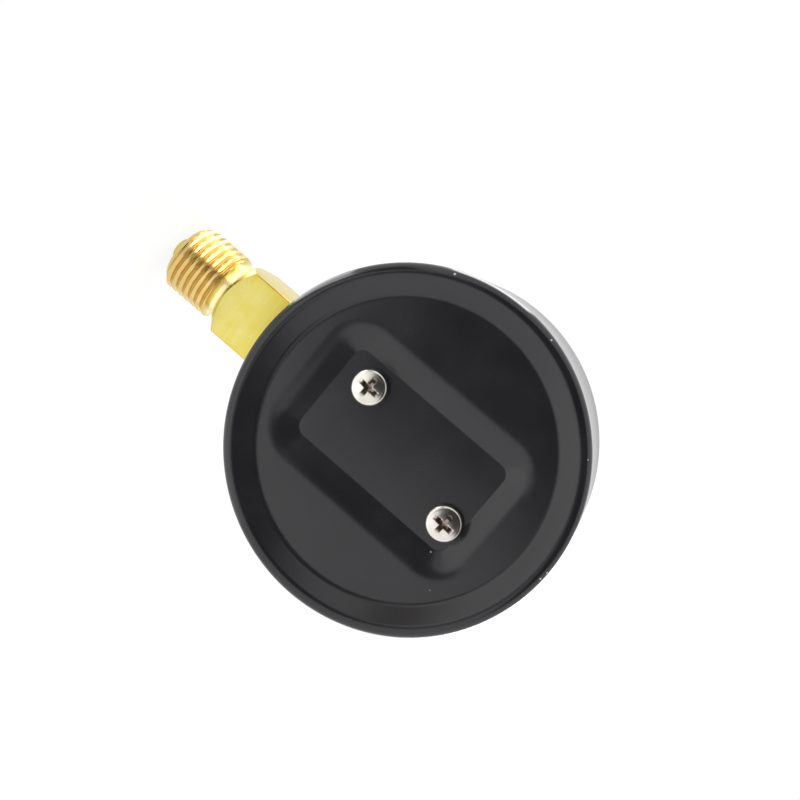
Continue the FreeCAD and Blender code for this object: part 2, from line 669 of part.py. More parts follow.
# Hairspring: a flat spiral of half circles from the arbor out to the stud on the front plate
def build_hairspring():
    step = sheet.spring_pitch / 2
    inner = []
    outer = []
    begin = sheet.spring_start + sheet.spring_strip / 2
    first_radius = begin + step / 2
    side = 1
    for i in range(int(sheet.spring_half_turns)):
        radius = first_radius + i * step
        centre = begin - side * radius
        for arcs, edge in ((inner, -1), (outer, 1)):
            reach = side * (radius + edge * sheet.spring_strip / 2)
            points = [(centre + reach, 0), (centre, reach), (centre - reach, 0)]
            arcs.append(Part.Arc(*[FreeCAD.Vector(x, y, 0) for x, y in points]).toShape())
        begin = centre - side * radius
        side = -side
    caps = [Part.makeLine(inner[0].Vertexes[0].Point, outer[0].Vertexes[0].Point),
            Part.makeLine(inner[-1].Vertexes[-1].Point, outer[-1].Vertexes[-1].Point)]
    add_shape("hairspring", extrude_edges(inner + outer + caps, sheet.spring_rear, sheet.spring_height))
    stud = new_body("hairspring_stud", local_frame(x=begin))
    foot = new_sketch(stud, "XY_Plane", "sizes.spring_rear")
    draw_box(foot, "-sizes.plate", "sizes.plate", "-sizes.plate", "0")
    add_pad(stud, foot, "sizes.front_plate_rear - sizes.spring_rear")


# Dial side: the printed plate on the front plate, and the pointer with its bush
def build_dial_side():
    plate = new_body("dial")
    pad_circles(plate, FRONT_PLATE_FRONT, "sizes.dial", [("0", "0", "sizes.dial_radius")])
    pocket_circles(plate, f"{FRONT_PLATE_FRONT} - 0.1", "sizes.dial + 0.2",
                   [("0", "0", "sizes.dial_hole")])
    # The stop is a tab lanced out of the dial, just before the pointer's zero
    stop = new_sketch(plate, "XY_Plane", DIAL_FRONT)
    stop.setExpression("AttachmentOffset.Rotation.Angle", f"{REST_DIRECTION + 180}")
    edge = "-sizes.pointer_root_half"
    draw_box(stop, "-sizes.stop_radius - 1", "-sizes.stop_radius + 1", f"{edge} - sizes.stop_width", edge)
    add_pad(plate, stop, "sizes.stop_height")

    pointer = new_body("pointer", local_frame(angle=REST_DIRECTION))
    blade = new_sketch(pointer, "XY_Plane", "sizes.pointer_rear")
    draw_outline(blade, [
        ("sizes.pointer_tip", "-sizes.pointer_tip_half"), ("sizes.pointer_tip", "sizes.pointer_tip_half"),
        ("0", "sizes.pointer_root_half"), ("-sizes.pointer_tail", "sizes.pointer_tail_half"),
        ("-sizes.pointer_tail", "-sizes.pointer_tail_half"), ("0", "-sizes.pointer_root_half"),
    ])
    add_pad(pointer, blade, "sizes.pointer_sheet")
    pocket_circles(pointer, "sizes.pointer_rear - 0.1", "sizes.pointer_sheet + 0.2",
                   [("0", "0", "sizes.arbor_radius + 0.01")])
    bush = new_body("pointer_bush")
    bush_height = f"sizes.bush_front - ({POINTER_FRONT})"
    pad_circles(bush, POINTER_FRONT, bush_height, [("0", "0", "sizes.bush_radius")])



build_case()
build_window()
build_socket()
build_socket_screws()
build_capsule()
build_rocker()
build_cage()
build_gears()
build_hairspring()
build_dial_side()
doc.recompute()

# Nothing is written unless every feature and every piece came out sound
for item in doc.Objects:
    if "Invalid" in item.State or "Error" in item.State:
        raise ValueError(f"{item.Label} did not rebuild: {item.State}")
for piece in PIECES:
    if piece.Shape.isNull() or not piece.Shape.isValid():
        raise ValueError(f"{piece.Label} has no sound shape")

os.makedirs("parts", exist_ok=True)
for piece in PIECES:
    piece.Shape.exportStep(f"parts/{piece.Label}.step")
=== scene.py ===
import math

import bmesh
import bpy
from mathutils import Matrix, Vector


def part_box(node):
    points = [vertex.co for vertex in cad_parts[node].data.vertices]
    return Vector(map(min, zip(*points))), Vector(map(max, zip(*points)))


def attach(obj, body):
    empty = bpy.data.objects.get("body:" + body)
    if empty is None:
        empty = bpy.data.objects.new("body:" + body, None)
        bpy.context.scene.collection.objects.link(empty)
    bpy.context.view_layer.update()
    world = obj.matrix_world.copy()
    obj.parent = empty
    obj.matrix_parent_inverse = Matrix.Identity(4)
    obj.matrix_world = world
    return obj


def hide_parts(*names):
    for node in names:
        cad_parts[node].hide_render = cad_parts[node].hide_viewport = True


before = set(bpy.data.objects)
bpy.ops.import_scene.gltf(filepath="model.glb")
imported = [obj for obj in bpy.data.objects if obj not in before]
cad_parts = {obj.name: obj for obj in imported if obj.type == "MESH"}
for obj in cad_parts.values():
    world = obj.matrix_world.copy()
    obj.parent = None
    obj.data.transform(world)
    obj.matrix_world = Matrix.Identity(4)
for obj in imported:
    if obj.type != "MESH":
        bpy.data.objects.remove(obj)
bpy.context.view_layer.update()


# Socket: the connection that the whole gauge is built on, turned and milled from one brass bar. It has
# a spigot and a parallel thread with a run-out neck, a square for the wrench with its corners turned to
# a cone, and a flat block inside the case that the capsule and the movement are fixed to.
MM = 0.001
TOUCH = 0.01 * MM
THREAD_RADIUS = 7.0 * MM
THREAD_PITCH = 1.5 * MM
THREAD_DEPTH = 0.5 * MM
CREST_SHARE = 0.38
FLANK_SHARE = 0.56
THREAD_TIP = -10.4 * MM
THREAD_TOP = 0.9 * MM
THREAD_CHAMFER = 1.3 * MM
RUN_OUT_SLOPE = 1.4
SPIGOT_RADIUS = 2.3 * MM
SPIGOT_TIP = -12.3 * MM
SPIGOT_EDGE = 0.5 * MM
INLET_RADIUS = 1.25 * MM
INLET_END = 46.0 * MM
NECK_RADIUS = 6.0 * MM
NECK_END = 1.8 * MM
SQUARE_HALF = 7.0 * MM
SQUARE_CORNER = 9.8 * MM
SQUARE_CONE_END = 4.8 * MM
SQUARE_END = 22.7 * MM
BLOCK_FRONT = -2.2 * MM
BLOCK_REAR = 5.1 * MM
MILLED_EDGE = 0.2 * MM
BLOCK_EDGE = 0.4 * MM
RINGS_PER_TURN = 20
UP = Vector((0, 0, 1))
REARWARD = Vector((0, 1, 0))


def arc(centre, radius, start, end, count):
    """Points on a circle from one angle to another, in degrees, for a round stretch of an outline."""
    angles = [math.radians(start + (end - start) * i / count) for i in range(count + 1)]
    return [(centre[0] + radius * math.cos(a), centre[1] + radius * math.sin(a)) for a in angles]


def turn(name, outline, axis, centre, steps):
    """Turns an outline of (radius, height) points round the axis through the centre, as on a lathe."""
    points = [centre + Vector((radius, 0, 0)) + axis * height for radius, height in outline]
    bpy.ops.object.select_all(action="DESELECT")
    bpy.ops.mesh.primitive_plane_add(size=MM, location=points[0])
    piece = bpy.context.object
    piece.name = name
    bpy.ops.object.transform_apply(location=True)
    bpy.ops.object.mode_set(mode="EDIT")
    bpy.ops.mesh.merge(type="CENTER")
    for start, end in zip(points, points[1:]):
        bpy.ops.mesh.extrude_region_move(TRANSFORM_OT_translate={"value": end - start})
    bpy.ops.mesh.select_all(action="SELECT")
    bpy.ops.mesh.spin(steps=steps, angle=2 * math.pi, center=centre, axis=axis)
    bpy.ops.mesh.select_all(action="SELECT")
    bpy.ops.mesh.remove_doubles(threshold=0.002 * MM)
    bpy.ops.mesh.normals_make_consistent(inside=False)
    bpy.ops.object.mode_set(mode="OBJECT")
    return piece


def block(name, low, high):
    """A cube stretched between two corners, with its place in its mesh."""
    low, high = Vector(low), Vector(high)
    bpy.ops.object.select_all(action="DESELECT")
    bpy.ops.mesh.primitive_cube_add(size=1, location=(low + high) / 2, scale=high - low)
    piece = bpy.context.object
    piece.name = name
    bpy.ops.object.transform_apply(location=True, rotation=True, scale=True)
    return piece


def modify(piece, kind, **settings):
    """Adds a modifier and applies it."""
    modifier = piece.modifiers.new(kind.lower(), kind)
    for setting, value in settings.items():
        setattr(modifier, setting, value)
    bpy.context.view_layer.objects.active = piece
    bpy.ops.object.modifier_apply(modifier=modifier.name)


def combine(piece, tool, operation):
    """Joins a tool shape to the piece, or cuts the piece with it, and takes the tool away."""
    modify(piece, "BOOLEAN", object=tool, operation=operation, solver="EXACT")
    bpy.data.objects.remove(tool)


def pick(*pieces):
    """Selects these pieces alone and makes the first one active."""
    bpy.ops.object.select_all(action="DESELECT")
    for piece in pieces:
        piece.select_set(True)
    bpy.context.view_layer.objects.active = pieces[0]


def smooth(piece, degrees=32):
    """Shades the faces smooth where they meet at less than an angle."""
    pick(piece)
    bpy.ops.object.shade_smooth_by_angle(angle=math.radians(degrees))


socket_low, socket_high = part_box("socket")
rings = round((THREAD_TOP - THREAD_TIP) / THREAD_PITCH * RINGS_PER_TURN)
ring_step = (THREAD_TOP - THREAD_TIP) / rings
socket = turn("brass_socket", [
    (0, SPIGOT_TIP),
    *arc((SPIGOT_RADIUS - SPIGOT_EDGE, SPIGOT_TIP + SPIGOT_EDGE), SPIGOT_EDGE, -90, 0, count=4),
    (SPIGOT_RADIUS, THREAD_TIP),
    *[(THREAD_RADIUS, THREAD_TIP + ring_step * i) for i in range(rings + 1)],
    (NECK_RADIUS, THREAD_TOP + ring_step),
    (NECK_RADIUS, NECK_END + MM),
    (0, NECK_END + MM),
], UP, Vector(), steps=128)

# The thread's rings are pressed in along a helix: flat crests, and flanks that curve softly into the
# crests and the roots. They stay inside a cone at the tip and a blunter one at the neck.
for vertex in socket.data.vertices:
    radius = math.hypot(vertex.co.x, vertex.co.y)
    height = vertex.co.z
    if radius > THREAD_RADIUS - TOUCH and height < THREAD_TOP + TOUCH:
        turns = height / THREAD_PITCH + math.atan2(vertex.co.y, vertex.co.x) / (2 * math.pi)
        from_crest = abs(2 * (turns % 1.0) - 1)
        cut = min(1.0, max(0.0, (from_crest - CREST_SHARE) / FLANK_SHARE))
        helix = THREAD_RADIUS - THREAD_DEPTH * cut * cut * (3 - 2 * cut)
        tip_cone = THREAD_RADIUS - THREAD_CHAMFER + (height - THREAD_TIP)
        neck_cone = NECK_RADIUS + RUN_OUT_SLOPE * (THREAD_TOP - height)
        share = min(helix, tip_cone, neck_cone) / radius
        vertex.co.x *= share
        vertex.co.y *= share

square = block("square", (-SQUARE_HALF, -SQUARE_HALF, NECK_END), (SQUARE_HALF, SQUARE_HALF, SQUARE_END))
blank = turn("blank", [
    (0, NECK_END - MM),
    (NECK_RADIUS, NECK_END - MM),
    (NECK_RADIUS, NECK_END),
    (SQUARE_CORNER, SQUARE_CONE_END),
    (SQUARE_CORNER, SQUARE_END + MM),
    (0, SQUARE_END + MM),
], UP, Vector(), steps=160)
combine(square, blank, "INTERSECT")
modify(square, "BEVEL", width=MILLED_EDGE, segments=3, limit_method="ANGLE", angle_limit=math.radians(25))
combine(socket, square, "UNION")
mount = block("mount", (socket_low.x, BLOCK_FRONT, SQUARE_END), (socket_high.x, BLOCK_REAR, socket_high.z))
modify(mount, "BEVEL", width=BLOCK_EDGE, segments=2, limit_method="ANGLE")
combine(socket, mount, "UNION")
inlet = turn("inlet", [
    (0, SPIGOT_TIP - MM),
    (INLET_RADIUS, SPIGOT_TIP - MM),
    (INLET_RADIUS, INLET_END),
    (0, INLET_END),
], UP, Vector(), steps=48)
combine(socket, inlet, "DIFFERENCE")
smooth(socket)


def linear(colour):
    """An sRGB hex colour as linear RGBA."""
    channels = [int(colour[i:i + 2], 16) / 255 for i in (1, 3, 5)]
    return [c / 12.92 if c <= 0.04045 else ((c + 0.055) / 1.055) ** 2.4 for c in channels] + [1.0]


def add_node(tree, kind, inputs=None, stops=(), **settings):
    """A shader node with its settings: an input takes a value, or the output that it is linked from."""
    node = tree.nodes.new(kind)
    for name, value in settings.items():
        setattr(node, name, value)
    for socket_name, value in (inputs or {}).items():
        if isinstance(value, bpy.types.NodeSocket):
            tree.links.new(value, node.inputs[socket_name])
        else:
            node.inputs[socket_name].default_value = value
    for i, (position, colour) in enumerate(stops):
        ramp = node.color_ramp.elements
        element = ramp[i] if i < len(ramp) else ramp.new(position)
        element.position = position
        element.color = linear(colour)
    return node


def new_finish(name, **constants):
    """A material with what is the same all over its surface set on the shader; also its Object place."""
    finish = bpy.data.materials.new(name)
    finish.use_nodes = True
    tree = finish.node_tree
    shader = tree.nodes["Principled BSDF"]
    for socket_name, value in constants.items():
        shader.inputs[socket_name.replace("_", " ")].default_value = value
    place = add_node(tree, "ShaderNodeTexCoord").outputs["Object"]
    return finish, tree, shader, place


def connect(tree, shader, colour, gloss, bump=None):
    """Links what varies over a finish to its shader: colour, roughness and, if it has any, relief."""
    tree.links.new(colour, shader.inputs["Base Color"])
    tree.links.new(gloss.outputs[0], shader.inputs["Roughness"])
    if bump:
        tree.links.new(bump.outputs[0], shader.inputs["Normal"])


def coat_with(piece, finish):
    """Gives a modelled piece its finish."""
    piece.data.materials.clear()
    piece.data.materials.append(finish)


# Machined brass: a pale yellow metal, with cloudy handling marks and tool lines round the stem's axis,
# drawn coarser than a lathe's real feed so that they show. The thread is painted a deeper gold, as painted
# shade, and the neck palest, as a painted highlight. Brown painted shade lies in patches in the thread's
# roots, and a deeper gold is painted along the square's edges as painted shade.
TOOL_LINE = 0.7 * MM
LINE_RUN = 25 * MM
HANDLING = 5.0 * MM
ROOT_SHADE_PATCH = 1.1 * MM
CREST_UNSHADED = 0.15 * MM
NECK_FADE = 0.8 * MM
TIP_UNSHADED = 0.3 * MM
TIP_FADE = 0.9 * MM
machined_brass, tree, shader, place = new_finish("machined_brass", Metallic=1.0)
along = add_node(tree, "ShaderNodeMapping", {
    "Vector": place, "Scale": (1 / LINE_RUN, 1 / LINE_RUN, 1 / TOOL_LINE),
})
lines = add_node(tree, "ShaderNodeTexNoise", {"Vector": along.outputs[0], "Scale": 1.0, "Detail": 0.0})
clouds = add_node(tree, "ShaderNodeTexNoise", {"Vector": place, "Scale": 1 / HANDLING, "Detail": 3.0})
streaked = add_node(tree, "ShaderNodeMix", {
    "Factor": 0.15, "A": clouds.outputs["Fac"], "B": lines.outputs["Fac"],
})
metal = add_node(tree, "ShaderNodeValToRGB", {
    "Fac": streaked.outputs["Result"],
}, stops=[(0.35, "#D2BF54"), (0.65, "#DACE7A")])
across = add_node(tree, "ShaderNodeVectorMath", {0: place, 1: (1, 1, 0)}, operation="MULTIPLY")
radius = add_node(tree, "ShaderNodeVectorMath", {0: across.outputs[0]}, operation="LENGTH")
root = add_node(tree, "ShaderNodeMapRange", {
    "Value": radius.outputs["Value"],
    "From Min": THREAD_RADIUS - CREST_UNSHADED, "From Max": THREAD_RADIUS - THREAD_DEPTH,
})
axes = add_node(tree, "ShaderNodeSeparateXYZ", {0: place})
below_neck = add_node(tree, "ShaderNodeMapRange", {
    "Value": axes.outputs["Z"], "From Min": THREAD_TOP, "From Max": THREAD_TOP - NECK_FADE,
})
above_tip = add_node(tree, "ShaderNodeMapRange", {
    "Value": axes.outputs["Z"], "From Min": THREAD_TIP + TIP_UNSHADED, "From Max": THREAD_TIP + TIP_FADE,
})
on_thread = add_node(tree, "ShaderNodeMath", {
    0: below_neck.outputs[0], 1: above_tip.outputs[0],
}, operation="MULTIPLY")
# Painted shade: the thread is painted a deeper gold than the flats.
golden = add_node(tree, "ShaderNodeMix", {
    "Factor": on_thread.outputs[0], "A": metal.outputs["Color"], "B": linear("#E4C77E"),
}, data_type="RGBA")
neck_length = NECK_END - THREAD_TOP
from_neck = add_node(tree, "ShaderNodeMath", {
    0: axes.outputs["Z"], 1: (THREAD_TOP + NECK_END) / 2,
}, operation="SUBTRACT")
off_neck = add_node(tree, "ShaderNodeMath", {0: from_neck.outputs[0]}, operation="ABSOLUTE")
# Painted highlight: the neck is painted a pale cream.
neck_highlight_mask = add_node(tree, "ShaderNodeMapRange", {
    "Value": off_neck.outputs[0], "From Min": 1.2 * neck_length, "From Max": 0.8 * neck_length,
})
turned = add_node(tree, "ShaderNodeMix", {
    "Factor": neck_highlight_mask.outputs[0], "A": golden.outputs[2], "B": linear("#F4E8AE"),
}, data_type="RGBA")
# Painted shade: brown in patches in the thread's roots.
root_shade_patches = add_node(tree, "ShaderNodeTexNoise", {"Vector": place, "Scale": 1 / ROOT_SHADE_PATCH, "Detail": 3.0})
patchy = add_node(tree, "ShaderNodeMapRange", {
    "Value": root_shade_patches.outputs["Fac"], "From Min": 0.3, "From Max": 0.65, "To Min": 0.45, "To Max": 1.0,
})
in_root = add_node(tree, "ShaderNodeMath", {
    0: root.outputs[0], 1: on_thread.outputs[0],
}, operation="MULTIPLY")
root_shade = add_node(tree, "ShaderNodeMath", {
    0: in_root.outputs[0], 1: patchy.outputs[0],
}, operation="MULTIPLY")
with_roots = add_node(tree, "ShaderNodeMix", {
    "Factor": root_shade.outputs[0], "A": turned.outputs[2], "B": linear("#CBA465"),
}, data_type="RGBA")
# Painted shade: a deeper gold along the square's edges.
size = add_node(tree, "ShaderNodeVectorMath", {0: place}, operation="ABSOLUTE")
sides = add_node(tree, "ShaderNodeSeparateXYZ", {0: size.outputs[0]})
nearer = add_node(tree, "ShaderNodeMath", {
    0: sides.outputs["X"], 1: sides.outputs["Y"],
}, operation="MINIMUM")
edge = add_node(tree, "ShaderNodeMapRange", {
    "Value": nearer.outputs[0],
    "From Min": SQUARE_HALF - 1.6 * MILLED_EDGE, "From Max": SQUARE_HALF - 0.6 * MILLED_EDGE,
})
with_edges = add_node(tree, "ShaderNodeMix", {
    "Factor": edge.outputs[0], "A": with_roots.outputs[2], "B": linear("#D9B252"),
}, data_type="RGBA")
gloss = add_node(tree, "ShaderNodeMapRange", {
    "Value": clouds.outputs["Fac"], "To Min": 0.16, "To Max": 0.34,
})
bump = add_node(tree, "ShaderNodeBump", {
    "Height": lines.outputs["Fac"], "Strength": 0.07, "Distance": 0.01 * MM,
})
connect(tree, shader, with_edges.outputs[2], gloss, bump)
coat_with(socket, machined_brass)
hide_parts("socket")
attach(socket, "gauge")


# Case: a cup drawn from thin steel sheet, with its back sunk inside a rounded rim and a long recess
# pressed into the back for the socket. Pierced for the two screws and the stem, then enamelled black.
case_low, case_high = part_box("case")
CASE_RADIUS = (case_high.z - case_low.z) / 2
CASE_AXIS = Vector((0, 0, (case_low.z + case_high.z) / 2))
REAR = case_high.y
MOUTH = case_low.y
MOUTH_EDGE = 0.15 * MM
SHEET = 0.7 * MM
RIM_ROUND = 1.7 * MM
RIM_START = REAR - 1.2 * RIM_ROUND
PANEL_RADIUS = 28.3 * MM
PANEL = REAR - 2.9 * MM
PANEL_LIP = 0.2 * MM
RING_FOOT = 1.8 * MM
FLOOR = PANEL - 2.0 * MM
FLOOR_CENTRE = CASE_AXIS + Vector((-0.7, 0, -0.7)) * MM
FLOOR_HALF_WIDTH = 10.1 * MM
FLOOR_HALF_HEIGHT = 18.0 * MM
FLOOR_CORNER = 2.2 * MM
FLOOR_LIP = 0.3 * MM
WALL_RUN = 4.1 * MM
SHOULDER_ROUND = 7.0 * MM
FLOOR_ROUND = 0.4 * MM
ROUND_STEPS = 8
STEM_OPENING = 7.3 * MM
STEM_OPENING_REACH = 5 * MM
SCREW_HOLE = 1.9 * MM
SCREW_HOLE_REACH = 3 * MM
CAD_HEAD_RADIUS = 3.35 * MM

# The cup's outline from the mouth over the rim and down the sloping ring to the edge of the panel
ring_top = CASE_RADIUS - RIM_ROUND
ring_slope = math.degrees(math.atan2(REAR - PANEL, ring_top - PANEL_RADIUS))
foot_radius = PANEL_RADIUS - RING_FOOT * math.tan(math.radians(ring_slope / 2))
case = turn("steel_case", [
    (CASE_RADIUS - MOUTH_EDGE, MOUTH),
    (CASE_RADIUS, MOUTH + MOUTH_EDGE),
    (CASE_RADIUS, MOUTH + 2 * MOUTH_EDGE),
    (CASE_RADIUS, RIM_START),
    *arc((ring_top, REAR - RIM_ROUND), RIM_ROUND, 0, 90 + ring_slope, count=16),
    *arc((foot_radius, PANEL + RING_FOOT), RING_FOOT, ring_slope - 90, -90, count=6),
    (foot_radius - PANEL_LIP, PANEL),
], REARWARD, CASE_AXIS, steps=192)

# The recess starts as a rounded plate flush with the panel and is inset step by step over a wide soft
# shoulder, down a straight wall and round a tight corner to its floor
wall_slope = math.atan2(PANEL - FLOOR, WALL_RUN)
shoulder_run = SHOULDER_ROUND * math.tan(wall_slope / 2)
floor_run = FLOOR_ROUND * math.tan(wall_slope / 2)
leans = [wall_slope * i / ROUND_STEPS for i in range(ROUND_STEPS + 1)]
steps = [(WALL_RUN + shoulder_run + PANEL_LIP, PANEL)]
for lean in leans:
    run = WALL_RUN + shoulder_run - SHOULDER_ROUND * math.sin(lean)
    steps.append((run, PANEL - SHOULDER_ROUND * (1 - math.cos(lean))))
for lean in leans[::-2]:
    run = FLOOR_ROUND * math.sin(lean) - floor_run
    steps.append((run, FLOOR + FLOOR_ROUND * (1 - math.cos(lean))))
steps.append((-floor_run - FLOOR_LIP, FLOOR))
margin = steps[0][0]
bpy.ops.object.select_all(action="DESELECT")
bpy.ops.mesh.primitive_plane_add(
    size=2, location=FLOOR_CENTRE + REARWARD * PANEL, rotation=(-math.pi / 2, 0, 0))
recess = bpy.context.object
recess.scale = (FLOOR_HALF_WIDTH + margin, FLOOR_HALF_HEIGHT + margin, 1)
bpy.ops.object.transform_apply(location=True, rotation=True, scale=True)
bpy.ops.object.mode_set(mode="EDIT")
bpy.ops.mesh.bevel(offset=FLOOR_CORNER + margin, segments=14, affect="VERTICES", clamp_overlap=False)
bpy.ops.mesh.select_all(action="SELECT")
for (run, depth), (next_run, next_depth) in zip(steps, steps[1:]):
    bpy.ops.mesh.inset(thickness=run - next_run, depth=next_depth - depth)
bpy.ops.object.mode_set(mode="OBJECT")

# Plate and cup become one skin, with the flat of the panel bridged between their edges, and the skin
# gets the sheet's thickness
pick(case, recess)
bpy.ops.object.join()
bpy.ops.object.mode_set(mode="EDIT")
bpy.ops.mesh.select_all(action="DESELECT")
skin = bmesh.from_edit_mesh(case.data)
for edge in skin.edges:
    if edge.is_boundary and edge.verts[0].co.y > FLOOR:
        edge.select_set(True)
bmesh.update_edit_mesh(case.data)
bpy.ops.mesh.bridge_edge_loops()
bpy.ops.mesh.select_all(action="SELECT")
bpy.ops.mesh.normals_make_consistent(inside=False)
bpy.ops.object.mode_set(mode="OBJECT")
modify(case, "SOLIDIFY", thickness=SHEET, offset=-1.0, use_even_offset=True)
opening = block("opening", (-STEM_OPENING, -STEM_OPENING, case_low.z - MM),
                (STEM_OPENING, STEM_OPENING, case_low.z + STEM_OPENING_REACH))
combine(case, opening, "DIFFERENCE")
screws_low, screws_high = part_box("socket_screws")
lower_screw = Vector((screws_high.x - CAD_HEAD_RADIUS, 0, screws_low.z + CAD_HEAD_RADIUS))
upper_screw = Vector((screws_low.x + CAD_HEAD_RADIUS, 0, screws_high.z - CAD_HEAD_RADIUS))
for place_on_back in (lower_screw, upper_screw):
    hole = turn("hole", [
        (0, FLOOR - SCREW_HOLE_REACH),
        (SCREW_HOLE, FLOOR - SCREW_HOLE_REACH),
        (SCREW_HOLE, FLOOR + MM),
        (0, FLOOR + MM),
    ], REARWARD, place_on_back, steps=48)
    combine(case, hole, "DIFFERENCE")
smooth(case)

# Black baked enamel: semi-gloss and nearly neutral, shinier on the drawn wall towards the rim, with a
# faint orange peel, a soft cloudy sheen, and a few chips where the bare steel shows. The last two spots,
# at the recess's lower corner, are a painted highlight in the same bare-steel colour. Each spot has its
# place from the case's axis and its radius, in millimetres.
PEEL = 0.6 * MM
SHEEN = 9.0 * MM
SPOT_GRAIN = 0.4 * MM
SPOT_RAGGED = 0.35 * MM
SPOT_CORE = 0.6
CHIPS_AND_GLINTS = {
    (30.6, 10.5, -12.8): 0.26,
    (32.5, 10.3, 7.8): 0.24,
    (20.6, 10.4, 26.1): 0.14,
    (0.6, 10.1, 33.6): 0.22,
    (-0.9, 10.3, 33.4): 0.22,
    (-16.4, 7.8, 19.9): 0.12,
    # Painted highlight: the next two spots, at the recess's lower corner.
    (-11.4, 5.95, 15.5): 0.24,
    (-11.4, 5.95, 16.0): 0.24,
}
enamel, tree, shader, place = new_finish("black_enamel", IOR=1.55)
peel = add_node(tree, "ShaderNodeTexNoise", {"Vector": place, "Scale": 1 / PEEL, "Detail": 2.0})
sheen = add_node(tree, "ShaderNodeTexNoise", {"Vector": place, "Scale": 1 / SHEEN, "Detail": 3.0})
paint = add_node(tree, "ShaderNodeValToRGB", {
    "Fac": sheen.outputs["Fac"],
}, stops=[(0.3, "#1D1C20"), (0.7, "#232226")])
centred = add_node(tree, "ShaderNodeMapping", {"Vector": place, "Location": -CASE_AXIS})
across = add_node(tree, "ShaderNodeVectorMath", {0: centred.outputs[0], 1: (1, 0, 1)}, operation="MULTIPLY")
radius = add_node(tree, "ShaderNodeVectorMath", {0: across.outputs[0]}, operation="LENGTH")
drawn = add_node(tree, "ShaderNodeMapRange", {
    "Value": radius.outputs["Value"],
    "From Min": CASE_RADIUS - 1.2 * RIM_ROUND, "From Max": CASE_RADIUS - 0.3 * RIM_ROUND,
    "To Min": 0.0, "To Max": -0.11,
})
cloudy = add_node(tree, "ShaderNodeMapRange", {
    "Value": sheen.outputs["Fac"], "To Min": 0.22, "To Max": 0.3,
})
axes = add_node(tree, "ShaderNodeSeparateXYZ", {0: place})
towards_rim = add_node(tree, "ShaderNodeMapRange", {
    "Value": axes.outputs["Y"], "From Min": MOUTH, "From Max": RIM_START,
})
gloss = add_node(tree, "ShaderNodeMath", {
    0: drawn.outputs[0], 1: towards_rim.outputs[0], 2: cloudy.outputs[0],
}, operation="MULTIPLY_ADD")
bump = add_node(tree, "ShaderNodeBump", {
    "Height": peel.outputs["Fac"], "Strength": 0.06, "Distance": 0.03 * MM,
})
ragged = add_node(tree, "ShaderNodeTexNoise", {"Vector": place, "Scale": 1 / SPOT_GRAIN, "Detail": 2.0})
wander = add_node(tree, "ShaderNodeVectorMath", {
    0: ragged.outputs["Color"], 1: [SPOT_RAGGED] * 3, 2: centred.outputs[0],
}, operation="MULTIPLY_ADD")
bare_or_glint = 0.0
for spot, spot_radius in CHIPS_AND_GLINTS.items():
    middle = Vector(spot) * MM + Vector([0.5 * SPOT_RAGGED] * 3)
    apart = add_node(tree, "ShaderNodeVectorMath", {0: wander.outputs[0], 1: middle}, operation="DISTANCE")
    chip_or_glint = add_node(tree, "ShaderNodeMapRange", {
        "Value": apart.outputs["Value"],
        "From Min": spot_radius * MM, "From Max": SPOT_CORE * spot_radius * MM,
    })
    bare_or_glint = add_node(tree, "ShaderNodeMath", {0: chip_or_glint.outputs[0], 1: bare_or_glint}, operation="MAXIMUM").outputs[0]
chipped_or_glinting = add_node(tree, "ShaderNodeMix", {
    "Factor": bare_or_glint, "A": paint.outputs["Color"], "B": linear("#C0C1C4"),
}, data_type="RGBA")
connect(tree, shader, chipped_or_glinting.outputs[2], gloss, bump)
coat_with(case, enamel)
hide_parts("case")
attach(case, "gauge")


# Socket screws: two nickel-plated pan heads with a cross recess that clamp the case's floor on the
# socket's block. The heads are cold formed, so every edge is soft, and the cross is punched into them.
HEAD_RADIUS = 3.45 * MM
HEAD_EDGE = 0.7 * MM
HEAD_FOOT = 0.2 * MM
DOME = 11.0 * MM
CROWN_STEPS = 7
SHANK_RADIUS = 1.75 * MM
SHANK_EDGE = 0.4 * MM
CROSS_HALF_WIDTH = 0.55 * MM
CROSS_REACH = 2.45 * MM
CROSS_DEPTH = 1.7 * MM
CROSS_TURN = math.radians(4)
CROSS_EDGE = 0.08 * MM
PUNCH_ABOVE = 0.5 * MM
PUNCH_TAPER = (0.4, 1, 0.7)
PUNCH_EDGE = 0.12 * MM


def copy_within(piece, offset):
    """Copies all of a piece's mesh to a second place in the same piece."""
    pick(piece)
    bpy.ops.object.mode_set(mode="EDIT")
    bpy.ops.mesh.select_all(action="SELECT")
    bpy.ops.mesh.duplicate_move(TRANSFORM_OT_translate={"value": offset})
    bpy.ops.object.mode_set(mode="OBJECT")


